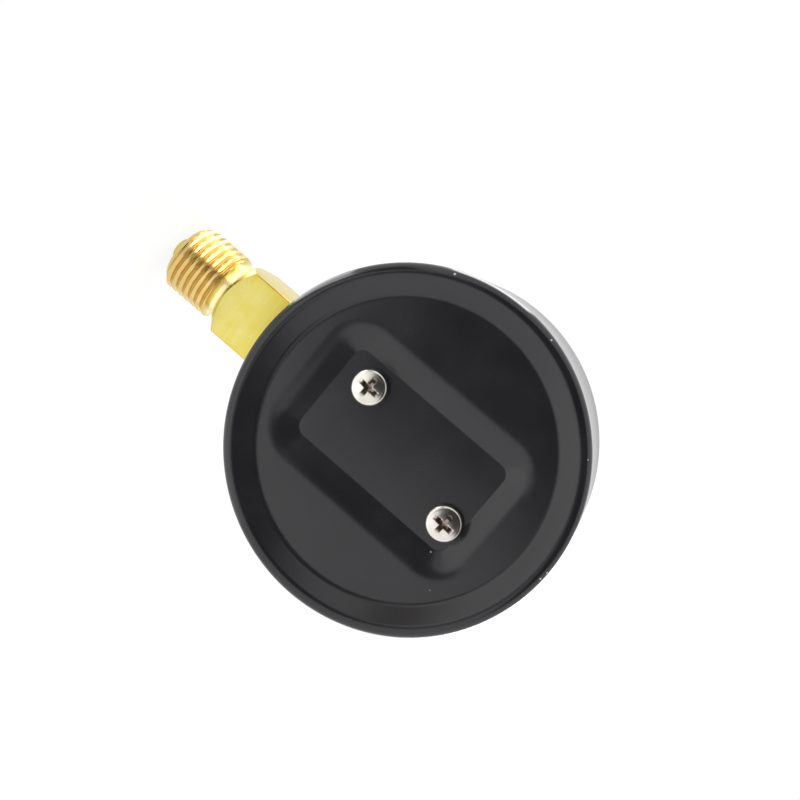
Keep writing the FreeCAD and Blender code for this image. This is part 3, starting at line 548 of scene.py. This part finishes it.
head_top = screws_high.y
crown_radius = HEAD_RADIUS - HEAD_EDGE
crown = []
for i in range(CROWN_STEPS + 1):
    radius = crown_radius * i / CROWN_STEPS
    crown.append((radius, head_top - DOME + math.sqrt(DOME * DOME - radius * radius)))
shoulder = math.degrees(math.acos(crown_radius / DOME))
screws = turn("nickel_screws", [
    *crown,
    *arc((crown_radius, crown[-1][1] - HEAD_EDGE), HEAD_EDGE, shoulder, 0, count=7),
    (HEAD_RADIUS, FLOOR + HEAD_FOOT),
    (HEAD_RADIUS - HEAD_FOOT, FLOOR),
    (SHANK_RADIUS, FLOOR),
    (SHANK_RADIUS, screws_low.y + SHANK_EDGE),
    (SHANK_RADIUS - SHANK_EDGE, screws_low.y),
    (0, screws_low.y),
], REARWARD, lower_screw, steps=72)
for quarter in (0, 1):
    punch = block("punch", (-CROSS_REACH, -CROSS_DEPTH, -CROSS_HALF_WIDTH),
                  (CROSS_REACH, PUNCH_ABOVE, CROSS_HALF_WIDTH))
    bpy.ops.object.mode_set(mode="EDIT")
    bpy.ops.mesh.select_all(action="DESELECT")
    bpy.ops.mesh.select_mode(type="FACE")
    faces = bmesh.from_edit_mesh(punch.data)
    for face in faces.faces:
        face.select_set(face.normal.y < -0.9)
    bmesh.update_edit_mesh(punch.data)
    bpy.ops.transform.resize(value=PUNCH_TAPER)
    bpy.ops.mesh.select_mode(type="VERT")
    bpy.ops.object.mode_set(mode="OBJECT")
    punch.location = lower_screw + REARWARD * head_top
    punch.rotation_euler = (0, -CROSS_TURN - quarter * math.pi / 2, 0)
    bpy.ops.object.transform_apply(location=True, rotation=True)
    modify(punch, "BEVEL", width=PUNCH_EDGE, segments=2, limit_method="NONE")
    combine(screws, punch, "DIFFERENCE")
modify(screws, "BEVEL", width=CROSS_EDGE, segments=2, limit_method="ANGLE", angle_limit=math.radians(40))
copy_within(screws, upper_screw - lower_screw)
smooth(screws, degrees=40)

# Nickel plate: a warm white metal with a soft shine, a faint haze and forming marks. Brown painted shade
# lies in the crosses, within their reach of either screw's axis and below the head's face.
HAZE = 1.6 * MM
CROSS_SHADE_EDGE = 0.2 * MM
CROSS_SHADE_START = 0.4 * MM
CROSS_SHADE_FULL = 0.8 * MM
bright_nickel, tree, shader, place = new_finish("bright_nickel", Metallic=1.0)
haze = add_node(tree, "ShaderNodeTexNoise", {"Vector": place, "Scale": 1 / HAZE, "Detail": 4.0})
plate = add_node(tree, "ShaderNodeValToRGB", {
    "Fac": haze.outputs["Fac"],
}, stops=[(0.3, "#E8E2D8"), (0.7, "#F4F0E8")])
gloss = add_node(tree, "ShaderNodeMapRange", {
    "Value": haze.outputs["Fac"], "To Min": 0.18, "To Max": 0.3,
})
bump = add_node(tree, "ShaderNodeBump", {
    "Height": haze.outputs["Fac"], "Strength": 0.1, "Distance": 0.03 * MM,
})
flattened = add_node(tree, "ShaderNodeVectorMath", {0: place, 1: (1, 0, 1)}, operation="MULTIPLY")
from_lower, from_upper = [
    add_node(tree, "ShaderNodeVectorMath", {0: flattened.outputs[0], 1: screw}, operation="DISTANCE")
    for screw in (lower_screw, upper_screw)
]
from_axis = add_node(tree, "ShaderNodeMath", {
    0: from_lower.outputs["Value"], 1: from_upper.outputs["Value"],
}, operation="MINIMUM")
within = add_node(tree, "ShaderNodeMapRange", {
    "Value": from_axis.outputs[0], "From Min": CROSS_REACH + CROSS_SHADE_EDGE, "From Max": CROSS_REACH,
})
axes = add_node(tree, "ShaderNodeSeparateXYZ", {0: place})
sunk = add_node(tree, "ShaderNodeMapRange", {
    "Value": axes.outputs["Y"], "From Min": head_top - CROSS_SHADE_START, "From Max": head_top - CROSS_SHADE_FULL,
})
in_cross = add_node(tree, "ShaderNodeMath", {
    0: within.outputs[0], 1: sunk.outputs[0],
}, operation="MULTIPLY")
# Painted shade: brownish grey in the crosses.
cross_shaded = add_node(tree, "ShaderNodeMix", {
    "Factor": in_cross.outputs[0], "A": plate.outputs["Color"], "B": linear("#A5978C"),
}, data_type="RGBA")
connect(tree, shader, cross_shaded.outputs[2], gloss, bump)
coat_with(screws, bright_nickel)
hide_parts("socket_screws")
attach(screws, "gauge")


# Capsule: two corrugated bronze diaphragms joined at the edge on a nipple that leads to the socket's
# bore. It swells as the pressure rises, and its post pushes on the rocker. Pressed, then welded.

# Formed bronze: a reddish yellow metal, cloudy from the heat of the weld, with shallow rings pressed into
# it. Blender's ring pattern repeats every 0.314 units at scale 1.
CORRUGATION = 1.9 * MM
WAVE_PERIOD = 0.314
HEAT_TINT = 6.0 * MM
formed_bronze, tree, shader, place = new_finish("formed_bronze", Metallic=1.0)
centred = add_node(tree, "ShaderNodeMapping", {"Vector": place, "Location": -CASE_AXIS})
across = add_node(tree, "ShaderNodeVectorMath", {0: centred.outputs[0], 1: (1, 0, 1)}, operation="MULTIPLY")
waves = add_node(tree, "ShaderNodeTexWave", {
    "Vector": across.outputs[0], "Scale": WAVE_PERIOD / CORRUGATION, "Distortion": 0.0,
}, wave_type="RINGS", rings_direction="SPHERICAL")
tint = add_node(tree, "ShaderNodeTexNoise", {"Vector": place, "Scale": 1 / HEAT_TINT, "Detail": 4.0})
bronze = add_node(tree, "ShaderNodeValToRGB", {
    "Fac": tint.outputs["Fac"],
}, stops=[(0.25, "#B9834A"), (0.5, "#CFA063"), (0.75, "#D9B27C")])
gloss = add_node(tree, "ShaderNodeMapRange", {
    "Value": tint.outputs["Fac"], "To Min": 0.22, "To Max": 0.4,
})
bump = add_node(tree, "ShaderNodeBump", {
    "Height": waves.outputs["Fac"], "Strength": 0.6, "Distance": 0.3 * MM,
})
connect(tree, shader, bronze.outputs["Color"], gloss, bump)


def finish_node(node, finish):
    """Gives a CAD node that keeps its shape its finish."""
    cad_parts[node].material_slots[0].material = finish


finish_node("capsule", formed_bronze)
finish_node("capsule_nipple", machined_brass)


# Movement: a folded back plate and a front plate of stamped brass hold the sector gear, whose teeth
# drive the pinion. The blanks are rolled sheet, so they show a straight grain, drawn coarser than it is,
# and a little tarnish.
ROLLED_GRAIN = 0.15 * MM
GRAIN_RUN = 20 * MM
AGEING = 5.0 * MM
STAMPED = (
    "back_plate", "front_plate", "sector_gear", "hairspring_stud",
    "capsule_post", "rocker_arm", "rocker_finger",
)
stamped_brass, tree, shader, place = new_finish("stamped_brass", Metallic=1.0)
along = add_node(tree, "ShaderNodeMapping", {
    "Vector": place, "Scale": (1 / GRAIN_RUN, 1 / GRAIN_RUN, 1 / ROLLED_GRAIN),
})
grain = add_node(tree, "ShaderNodeTexNoise", {"Vector": along.outputs[0], "Scale": 1.0, "Detail": 3.0})
ageing = add_node(tree, "ShaderNodeTexNoise", {"Vector": place, "Scale": 1 / AGEING, "Detail": 4.0})
sheet = add_node(tree, "ShaderNodeValToRGB", {
    "Fac": ageing.outputs["Fac"],
}, stops=[(0.25, "#B8923F"), (0.5, "#D6B65C"), (0.75, "#E2C772")])
gloss = add_node(tree, "ShaderNodeMapRange", {
    "Value": grain.outputs["Fac"], "To Min": 0.24, "To Max": 0.42,
})
bump = add_node(tree, "ShaderNodeBump", {
    "Height": grain.outputs["Fac"], "Strength": 0.25, "Distance": 0.02 * MM,
})
connect(tree, shader, sheet.outputs["Color"], gloss, bump)
for node in STAMPED:
    finish_node(node, stamped_brass)

# Ground steel: the arbors and the rocker's shaft are drawn wire ground to size, a clean grey metal with a
# fine even grain, drawn coarser than the wheel leaves it.
GRIND_GRAIN = 0.12 * MM
STEEL_TONE = 2.5 * MM
ground_steel, tree, shader, place = new_finish("ground_steel", Metallic=1.0)
ground = add_node(tree, "ShaderNodeTexNoise", {"Vector": place, "Scale": 1 / GRIND_GRAIN, "Detail": 2.0})
tone = add_node(tree, "ShaderNodeTexNoise", {"Vector": place, "Scale": 1 / STEEL_TONE, "Detail": 3.0})
steel = add_node(tree, "ShaderNodeValToRGB", {
    "Fac": tone.outputs["Fac"],
}, stops=[(0.3, "#8E9196"), (0.7, "#B4B6B9")])
gloss = add_node(tree, "ShaderNodeMapRange", {
    "Value": tone.outputs["Fac"], "To Min": 0.2, "To Max": 0.34,
})
bump = add_node(tree, "ShaderNodeBump", {
    "Height": ground.outputs["Fac"], "Strength": 0.2, "Distance": 0.01 * MM,
})
connect(tree, shader, steel.outputs["Color"], gloss, bump)
for node in ("rocker_shaft", "sector_arbor", "pinion_arbor"):
    finish_node(node, ground_steel)
finish_node("hairspring", formed_bronze)


# Dial: a thin sheet-metal disc sprayed matt white, resting on the movement's lugs. The paint has a very
# fine grain and has yellowed a little, more in some places than in others.
SPRAY_GRAIN = 0.35 * MM
YELLOWING = 14.0 * MM
dial_paint, tree, shader, place = new_finish("matt_white_dial_paint", IOR=1.5)
spray = add_node(tree, "ShaderNodeTexNoise", {"Vector": place, "Scale": 1 / SPRAY_GRAIN, "Detail": 2.0})
yellowing = add_node(tree, "ShaderNodeTexNoise", {"Vector": place, "Scale": 1 / YELLOWING, "Detail": 2.0})
white_paint = add_node(tree, "ShaderNodeValToRGB", {
    "Fac": yellowing.outputs["Fac"],
}, stops=[(0.3, "#F4F2EA"), (0.7, "#FBFAF6")])
gloss = add_node(tree, "ShaderNodeMapRange", {
    "Value": spray.outputs["Fac"], "To Min": 0.5, "To Max": 0.68,
})
bump = add_node(tree, "ShaderNodeBump", {
    "Height": spray.outputs["Fac"], "Strength": 0.15, "Distance": 0.02 * MM,
})
connect(tree, shader, white_paint.outputs["Color"], gloss, bump)
finish_node("dial", dial_paint)


# Scale: black ink screen-printed on the dial, 0 to 10 over 270 degrees with five parts to each unit. The
# ink stands a hair above the paint. A mark has its inner and outer radius and half its width.
SCALE_START = 225
SCALE_SWEEP = 270
UNITS = 10
PARTS_PER_UNIT = 5
UNITS_PER_NUMBER = 2
DIAL_FACE = -13.4 * MM
INK = 0.03 * MM
ARC_INNER = 25.7 * MM
ARC_OUTER = 25.95 * MM
PART_MARK = (ARC_INNER, 27.3 * MM, 0.11 * MM)
UNIT_MARK = (23.9 * MM, 27.9 * MM, 0.26 * MM)
NUMBER_RADIUS = 20.6 * MM
NUMBER_HEIGHT = 4.6 * MM
FORWARD = -REARWARD
dial_middle = CASE_AXIS + REARWARD * DIAL_FACE
sweep = math.radians(SCALE_SWEEP)


def on_scale(degrees):
    """The way out from the dial's middle at an angle."""
    return Vector((math.cos(math.radians(degrees)), 0, math.sin(math.radians(degrees))))


def round_mark(name, inner, outer, half_width, copies):
    """A printed bar at the start of the scale, copied round it at equal angles."""
    bpy.ops.object.select_all(action="DESELECT")
    bpy.ops.mesh.primitive_plane_add(size=1, location=((inner + outer) / 2, 0, 0))
    mark = bpy.context.object
    mark.name = name
    mark.scale = (outer - inner, 2 * half_width, 1)
    bpy.ops.object.transform_apply(location=True, scale=True)
    mark.rotation_euler = (math.pi / 2, -math.radians(SCALE_START), 0)
    mark.location = dial_middle
    bpy.ops.object.transform_apply(location=True, rotation=True)
    bpy.ops.object.mode_set(mode="EDIT")
    bpy.ops.mesh.select_all(action="SELECT")
    bpy.ops.mesh.extrude_region_move(TRANSFORM_OT_translate={"value": FORWARD * INK})
    bpy.ops.mesh.select_all(action="SELECT")
    bpy.ops.mesh.spin(steps=copies, dupli=True, angle=sweep, center=CASE_AXIS, axis=FORWARD)
    bpy.ops.mesh.select_all(action="SELECT")
    bpy.ops.mesh.normals_make_consistent(inside=False)
    bpy.ops.object.mode_set(mode="OBJECT")
    return mark


prints = [
    round_mark("dial_print", *PART_MARK, UNITS * PARTS_PER_UNIT),
    round_mark("unit_marks", *UNIT_MARK, UNITS),
]

# The line along the scale is the outline of its section, turned through the scale's sweep
start_way = on_scale(SCALE_START)
bpy.ops.object.select_all(action="DESELECT")
bpy.ops.mesh.primitive_plane_add(size=MM, location=dial_middle + start_way * ARC_INNER)
line = bpy.context.object
bpy.ops.object.transform_apply(location=True)
bpy.ops.object.mode_set(mode="EDIT")
bpy.ops.mesh.merge(type="CENTER")
for step in (FORWARD * INK, start_way * (ARC_OUTER - ARC_INNER), REARWARD * INK):
    bpy.ops.mesh.extrude_region_move(TRANSFORM_OT_translate={"value": step})
bpy.ops.mesh.select_all(action="SELECT")
bpy.ops.mesh.spin(steps=SCALE_SWEEP // 2, angle=sweep, center=CASE_AXIS, axis=FORWARD)
bpy.ops.mesh.select_all(action="SELECT")
bpy.ops.mesh.normals_make_consistent(inside=False)
bpy.ops.object.mode_set(mode="OBJECT")
prints.append(line)
for number in range(0, UNITS + 1, UNITS_PER_NUMBER):
    way = on_scale(SCALE_START - SCALE_SWEEP * number / UNITS)
    bpy.ops.object.text_add(location=dial_middle + way * NUMBER_RADIUS, rotation=(math.pi / 2, 0, 0))
    figure = bpy.context.object
    figure.data.body = str(number)
    figure.data.size = NUMBER_HEIGHT
    figure.data.align_x = "CENTER"
    figure.data.align_y = "CENTER"
    figure.data.extrude = INK
    pick(figure)
    bpy.ops.object.convert(target="MESH")
    bpy.ops.object.transform_apply(location=True, rotation=True, scale=True)
    prints.append(figure)
pick(*prints)
bpy.ops.object.join()
dial_print = prints[0]

# Screen ink: flat black with a slight mottle where the mesh left more or less of it.
MOTTLE = 0.4 * MM
screen_ink, tree, shader, place = new_finish("screen_ink", IOR=1.5)
mottle = add_node(tree, "ShaderNodeTexNoise", {"Vector": place, "Scale": 1 / MOTTLE, "Detail": 3.0})
ink = add_node(tree, "ShaderNodeValToRGB", {
    "Fac": mottle.outputs["Fac"],
}, stops=[(0.3, "#141414"), (0.7, "#242424")])
gloss = add_node(tree, "ShaderNodeMapRange", {
    "Value": mottle.outputs["Fac"], "To Min": 0.45, "To Max": 0.65,
})
connect(tree, shader, ink.outputs["Color"], gloss)
coat_with(dial_print, screen_ink)
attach(dial_print, "gauge")


# Dial screws: two small slotted round heads of turned brass that hold the dial on the movement's lugs,
# low enough for the pointer to pass over them.
DIAL_SCREW_OUT = 9.0 * MM
DIAL_HEAD_RADIUS = 1.5 * MM
DIAL_HEAD = 0.65 * MM
DIAL_HEAD_EDGE = 0.2 * MM
DIAL_SLOT_HALF = 0.25 * MM
DIAL_SLOT_DEPTH = 0.45 * MM
DIAL_SLOT_REACH = 2 * MM
dial_rise = DIAL_HEAD - DIAL_HEAD_EDGE
dial_dome = (DIAL_HEAD_RADIUS ** 2 + dial_rise ** 2) / (2 * dial_rise)
dial_lean = math.degrees(math.asin(DIAL_HEAD_RADIUS / dial_dome))
left_screw = CASE_AXIS + Vector((-DIAL_SCREW_OUT, DIAL_FACE, 0))
dial_screws = turn("dial_screws", [
    *arc((0, DIAL_HEAD - dial_dome), dial_dome, 90, 90 - dial_lean, count=6),
    (DIAL_HEAD_RADIUS, 0),
    (0, 0),
], FORWARD, left_screw, steps=48)
slot = block("slot", left_screw + Vector((-DIAL_SLOT_REACH, -MM, -DIAL_SLOT_HALF)),
             left_screw + Vector((DIAL_SLOT_REACH, DIAL_SLOT_DEPTH - DIAL_HEAD, DIAL_SLOT_HALF)))
combine(dial_screws, slot, "DIFFERENCE")
copy_within(dial_screws, (2 * DIAL_SCREW_OUT, 0, 0))
smooth(dial_screws)

# Turned brass: a warm, fairly bright metal, with painted shade lying dark in the slot, which is also dull.
OIL_FILM = 0.8 * MM
SLOT_SHADE_START = 0.1 * MM
SLOT_SHADE_FULL = 0.25 * MM
turned_brass, tree, shader, place = new_finish("turned_brass", Metallic=1.0)
film = add_node(tree, "ShaderNodeTexNoise", {"Vector": place, "Scale": 1 / OIL_FILM, "Detail": 3.0})
turned = add_node(tree, "ShaderNodeValToRGB", {
    "Fac": film.outputs["Fac"],
}, stops=[(0.3, "#CFAE58"), (0.7, "#E0C671")])
from_screw = add_node(tree, "ShaderNodeVectorMath", {0: place, 1: left_screw}, operation="SUBTRACT")
axes = add_node(tree, "ShaderNodeSeparateXYZ", {0: from_screw.outputs[0]})
off_middle = add_node(tree, "ShaderNodeMath", {0: axes.outputs["Z"]}, operation="ABSOLUTE")
between = add_node(tree, "ShaderNodeMapRange", {
    "Value": off_middle.outputs[0], "From Min": 1.1 * DIAL_SLOT_HALF, "From Max": 0.95 * DIAL_SLOT_HALF,
})
sunk = add_node(tree, "ShaderNodeMapRange", {
    "Value": axes.outputs["Y"], "From Min": SLOT_SHADE_START - DIAL_HEAD, "From Max": SLOT_SHADE_FULL - DIAL_HEAD,
})
in_slot = add_node(tree, "ShaderNodeMath", {
    0: between.outputs[0], 1: sunk.outputs[0],
}, operation="MULTIPLY")
# Painted shade: dark brown in the slot.
slot_shaded = add_node(tree, "ShaderNodeMix", {
    "Factor": in_slot.outputs[0], "A": turned.outputs["Color"], "B": linear("#3B2F1E"),
}, data_type="RGBA")
gloss = add_node(tree, "ShaderNodeMapRange", {
    "Value": in_slot.outputs[0], "To Min": 0.24, "To Max": 0.6,
})
connect(tree, shader, slot_shaded.outputs[2], gloss)
coat_with(dial_screws, turned_brass)
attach(dial_screws, "gauge")


# Pointer: a blade blanked from thin aluminium and painted matt black, pressed on the pinion's arbor by a
# turned bush. The bush is slotted, so that the pointer can be set to zero.

# Matt black paint: dull and nearly even, with a fine sprayed grain.
PAINT_GRAIN = 0.3 * MM
black_paint, tree, shader, place = new_finish("matt_black_pointer_paint", IOR=1.5)
paint_grain = add_node(tree, "ShaderNodeTexNoise", {
    "Vector": place, "Scale": 1 / PAINT_GRAIN, "Detail": 2.0,
})
blade = add_node(tree, "ShaderNodeValToRGB", {
    "Fac": paint_grain.outputs["Fac"],
}, stops=[(0.3, "#151515"), (0.7, "#222222")])
gloss = add_node(tree, "ShaderNodeMapRange", {
    "Value": paint_grain.outputs["Fac"], "To Min": 0.45, "To Max": 0.62,
})
bump = add_node(tree, "ShaderNodeBump", {
    "Height": paint_grain.outputs["Fac"], "Strength": 0.15, "Distance": 0.02 * MM,
})
connect(tree, shader, blade.outputs["Color"], gloss, bump)
finish_node("pointer", black_paint)
bush_low, bush_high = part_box("pointer_bush")
BUSH_RADIUS = bush_high.x
BUSH_EDGE = 0.25 * MM
BUSH_SLOT_HALF = 0.25 * MM
BUSH_SLOT_DEPTH = 0.3 * MM
BUSH_SLOT_REACH = 4 * MM
bush = turn("turned_bush", [
    (0, -bush_low.y),
    (BUSH_RADIUS - 2 * BUSH_EDGE, -bush_low.y),
    *arc((BUSH_RADIUS - BUSH_EDGE, -bush_low.y - BUSH_EDGE), BUSH_EDGE, 90, 0, count=4),
    (BUSH_RADIUS, -bush_high.y),
    (0, -bush_high.y),
], FORWARD, CASE_AXIS, steps=64)
slot = block("slot", CASE_AXIS + Vector((-BUSH_SLOT_REACH, bush_low.y - MM, -BUSH_SLOT_HALF)),
             CASE_AXIS + Vector((BUSH_SLOT_REACH, bush_low.y + BUSH_SLOT_DEPTH, BUSH_SLOT_HALF)))
combine(bush, slot, "DIFFERENCE")
smooth(bush)
coat_with(bush, black_paint)
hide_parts("pointer_bush")
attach(bush, "pointer")


# Window: a clear acrylic pane that snaps into the case's mouth, moulded with a rounded edge and four
# small feet that rest on the dial.
window_low, window_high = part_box("window")
PANE_RADIUS = window_high.x
PANE_EDGE = 0.35 * MM
PANE_BACK = -16.6 * MM
FOOT_MIDDLE = 31.3 * MM
FOOT_HALF_DEPTH = 0.5 * MM
FOOT_HALF_WIDTH = 1.0 * MM
FOOT_ROOT = 0.2 * MM
FOOT_EDGE = 0.12 * MM
pane_front = -window_low.y
pane_back = -PANE_BACK
pane = turn("acrylic_window", [
    (0, pane_front),
    (PANE_RADIUS - 1.5 * PANE_EDGE, pane_front),
    *arc((PANE_RADIUS - PANE_EDGE, pane_front - PANE_EDGE), PANE_EDGE, 90, 0, count=4),
    *arc((PANE_RADIUS - PANE_EDGE, pane_back + PANE_EDGE), PANE_EDGE, 0, -90, count=4),
    (PANE_RADIUS - 1.5 * PANE_EDGE, pane_back),
    (0, pane_back),
], FORWARD, CASE_AXIS, steps=128)
foot_low = Vector((FOOT_MIDDLE - FOOT_HALF_DEPTH, PANE_BACK - FOOT_ROOT, -FOOT_HALF_WIDTH))
foot_high = Vector((FOOT_MIDDLE + FOOT_HALF_DEPTH, window_high.y, FOOT_HALF_WIDTH))
foot = block("foot", CASE_AXIS + foot_low, CASE_AXIS + foot_high)
modify(foot, "BEVEL", width=FOOT_EDGE, segments=2, limit_method="ANGLE")
pick(foot)
bpy.ops.object.mode_set(mode="EDIT")
bpy.ops.mesh.select_all(action="SELECT")
bpy.ops.mesh.spin(steps=3, dupli=True, angle=1.5 * math.pi, center=CASE_AXIS, axis=REARWARD)
bpy.ops.object.mode_set(mode="OBJECT")
combine(pane, foot, "UNION")
smooth(pane)

# Clear acrylic: colourless, slightly softer in gloss than glass, with faint moulding ripples.
RIPPLE = 12.0 * MM
acrylic, tree, shader, place = new_finish("clear_acrylic", IOR=1.49, Transmission_Weight=1.0)
ripple = add_node(tree, "ShaderNodeTexNoise", {"Vector": place, "Scale": 1 / RIPPLE, "Detail": 1.0})
clear = add_node(tree, "ShaderNodeValToRGB", {
    "Fac": ripple.outputs["Fac"],
}, stops=[(0.3, "#F8FAFA"), (0.7, "#FFFFFF")])
gloss = add_node(tree, "ShaderNodeMapRange", {
    "Value": ripple.outputs["Fac"], "To Min": 0.0, "To Max": 0.04,
})
bump = add_node(tree, "ShaderNodeBump", {
    "Height": ripple.outputs["Fac"], "Strength": 0.05, "Distance": 0.1 * MM,
})
connect(tree, shader, clear.outputs["Color"], gloss, bump)
coat_with(pane, acrylic)
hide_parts("window")
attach(pane, "gauge")


# Studio: white paper under the stem's tip in a white surround, two softboxes, and cards out of the
# camera's sight that shape the reflections in the enamel, the nickel and the brass.
WHITE = linear("#FFFFFF")
BLACK = linear("#000000")
scene = bpy.context.scene
scene.view_settings.view_transform = "Standard"
world = bpy.data.worlds.new("white_surround")
scene.world = world
world.use_nodes = True
surround = world.node_tree.nodes["Background"]
surround.inputs["Color"].default_value = WHITE
surround.inputs["Strength"].default_value = 1.0

# Most of the paper's white is its own light where it is seen, by the camera, in a glossy surface or
# through a clear one, so that it stays white and still keeps a soft shadow
PAPER_SIZE = 3.0
PAPER_GLOW = 1.02
bpy.ops.object.select_all(action="DESELECT")
bpy.ops.mesh.primitive_plane_add(size=PAPER_SIZE, location=(0, 0, SPIGOT_TIP))
floor = bpy.context.object
floor.name = "floor"
paper, tree, shader, place = new_finish("white_paper", Base_Color=linear("#F4F4F4"), Roughness=0.9)
rays = add_node(tree, "ShaderNodeLightPath")
seen = add_node(tree, "ShaderNodeMath", {
    0: rays.outputs["Is Camera Ray"], 1: rays.outputs["Is Glossy Ray"],
}, operation="MAXIMUM")
seen_at_all = add_node(tree, "ShaderNodeMath", {
    0: seen.outputs[0], 1: rays.outputs["Is Transmission Ray"],
}, operation="MAXIMUM")
own_share = add_node(tree, "ShaderNodeMapRange", {
    "Value": seen_at_all.outputs[0], "To Min": 0.0, "To Max": 0.85,
})
glow = add_node(tree, "ShaderNodeEmission", {"Color": WHITE, "Strength": PAPER_GLOW})
mixed = add_node(tree, "ShaderNodeMixShader", {
    0: own_share.outputs[0], 1: shader.outputs[0], 2: glow.outputs[0],
})
tree.links.new(mixed.outputs[0], tree.nodes["Material Output"].inputs["Surface"])
floor.data.materials.append(paper)

# The camera stands behind the gauge, to the right of its axis, and is rolled so that the stem points up
# to the left
PANEL_CENTRE = CASE_AXIS + REARWARD * PANEL
CAMERA_FROM_REAR = Vector((42.268, 218.149, 22.419)) * MM
CAMERA_RIGHT = Vector((0.62715, -0.19948, 0.75317))
CAMERA_UP = Vector((0.76293, -0.03890, -0.64558))
CAMERA_BACK = Vector((0.15802, 0.97914, 0.12774))
SENSOR = 36.0
FOCAL_PIXELS = 1244.33
IMAGE_PIXELS = 800
bpy.ops.object.camera_add(location=CASE_AXIS + REARWARD * REAR + CAMERA_FROM_REAR)
camera = bpy.context.object
camera.rotation_euler = Matrix((CAMERA_RIGHT, CAMERA_UP, CAMERA_BACK)).transposed().to_euler()
camera.data.sensor_width = SENSOR
camera.data.lens = SENSOR * FOCAL_PIXELS / IMAGE_PIXELS
camera.data.clip_start = 5 * MM
scene.camera = camera

# Two softboxes: a small one low on the stem's right brightens that side of the brass, a large one high
# in front lights the dial. Each has its place, what it points at, its size and its power in watts
SOFTBOXES = {
    "stem_light": (Vector((95, -40, 10)) * MM, Vector((0, 0, 0)), 70 * MM, 0.1),
    "dial_light": (Vector((-120, -330, 260)) * MM, CASE_AXIS, 250 * MM, 0.8),
}
for name, (place, target, size, power) in SOFTBOXES.items():
    bpy.ops.object.light_add(type="AREA", location=place)
    softbox = bpy.context.object
    softbox.name = name
    softbox.data.size = size
    softbox.data.energy = power
    softbox.rotation_euler = (target - place).to_track_quat("-Z", "Y").to_euler()
    softbox.visible_camera = False

# Cards that only reflections see: a dark one on the camera's side of the gauge, and a brown one and two
# lit ones on the paper round the stem. Each has its finish, its origin, the two ways that it lies, and its
# outline along those ways in millimetres
CARD_DISTANCE = 150 * MM
CARD_LIFT = 0.1 * MM
X_WAY = Vector((1, 0, 0))
ON_PAPER = UP * (SPIGOT_TIP + CARD_LIFT)
BEFORE_CAMERA = PANEL_CENTRE + CAMERA_BACK * CARD_DISTANCE
black_felt = new_finish("black_felt", Base_Color=linear("#101010"), Roughness=1.0)[0]
brown_board = new_finish("brown_board", Base_Color=linear("#665639"), Roughness=1.0)[0]
lit_paper = new_finish("lit_paper", Base_Color=BLACK, Emission_Color=WHITE, Emission_Strength=4.4)[0]
pale_paper = new_finish("pale_paper", Base_Color=BLACK, Emission_Color=WHITE, Emission_Strength=1.25)[0]
CARDS = {
    "dark_card": (black_felt, BEFORE_CAMERA, CAMERA_RIGHT, CAMERA_UP, [
        (-134, 17), (-89, -8), (-25, -42), (2, -100), (8, -190),
        (200, -190), (200, 110), (-118, 130), (-146, 60),
    ]),
    "rear_card": (brown_board, ON_PAPER, X_WAY, REARWARD, [
        (-1, 18), (9, 18), (26, 44), (42, 34), (60, 34), (60, 110), (36, 110), (23, 51), (9, 29),
    ]),
    "right_card": (lit_paper, ON_PAPER, X_WAY, REARWARD, [
        (7, -17), (32, -17), (32, 28), (26, 41), (10, 17),
    ]),
    "left_card": (pale_paper, ON_PAPER, X_WAY, REARWARD, [
        (-120, 0), (-40, 0), (-38, 34), (8, 37), (26, 170), (-120, 170),
    ]),
}
for name, (finish, origin, across_way, up_way, outline) in CARDS.items():
    bpy.ops.object.select_all(action="DESELECT")
    bpy.ops.mesh.primitive_circle_add(vertices=len(outline), radius=MM, fill_type="NGON")
    card = bpy.context.object
    card.name = name
    for vertex, (across, up) in zip(card.data.vertices, outline):
        vertex.co = origin + (across_way * across + up_way * up) * MM
    card.data.materials.append(finish)
    card.visible_camera = False
    card.visible_diffuse = False
    card.visible_shadow = False
    card.visible_transmission = False
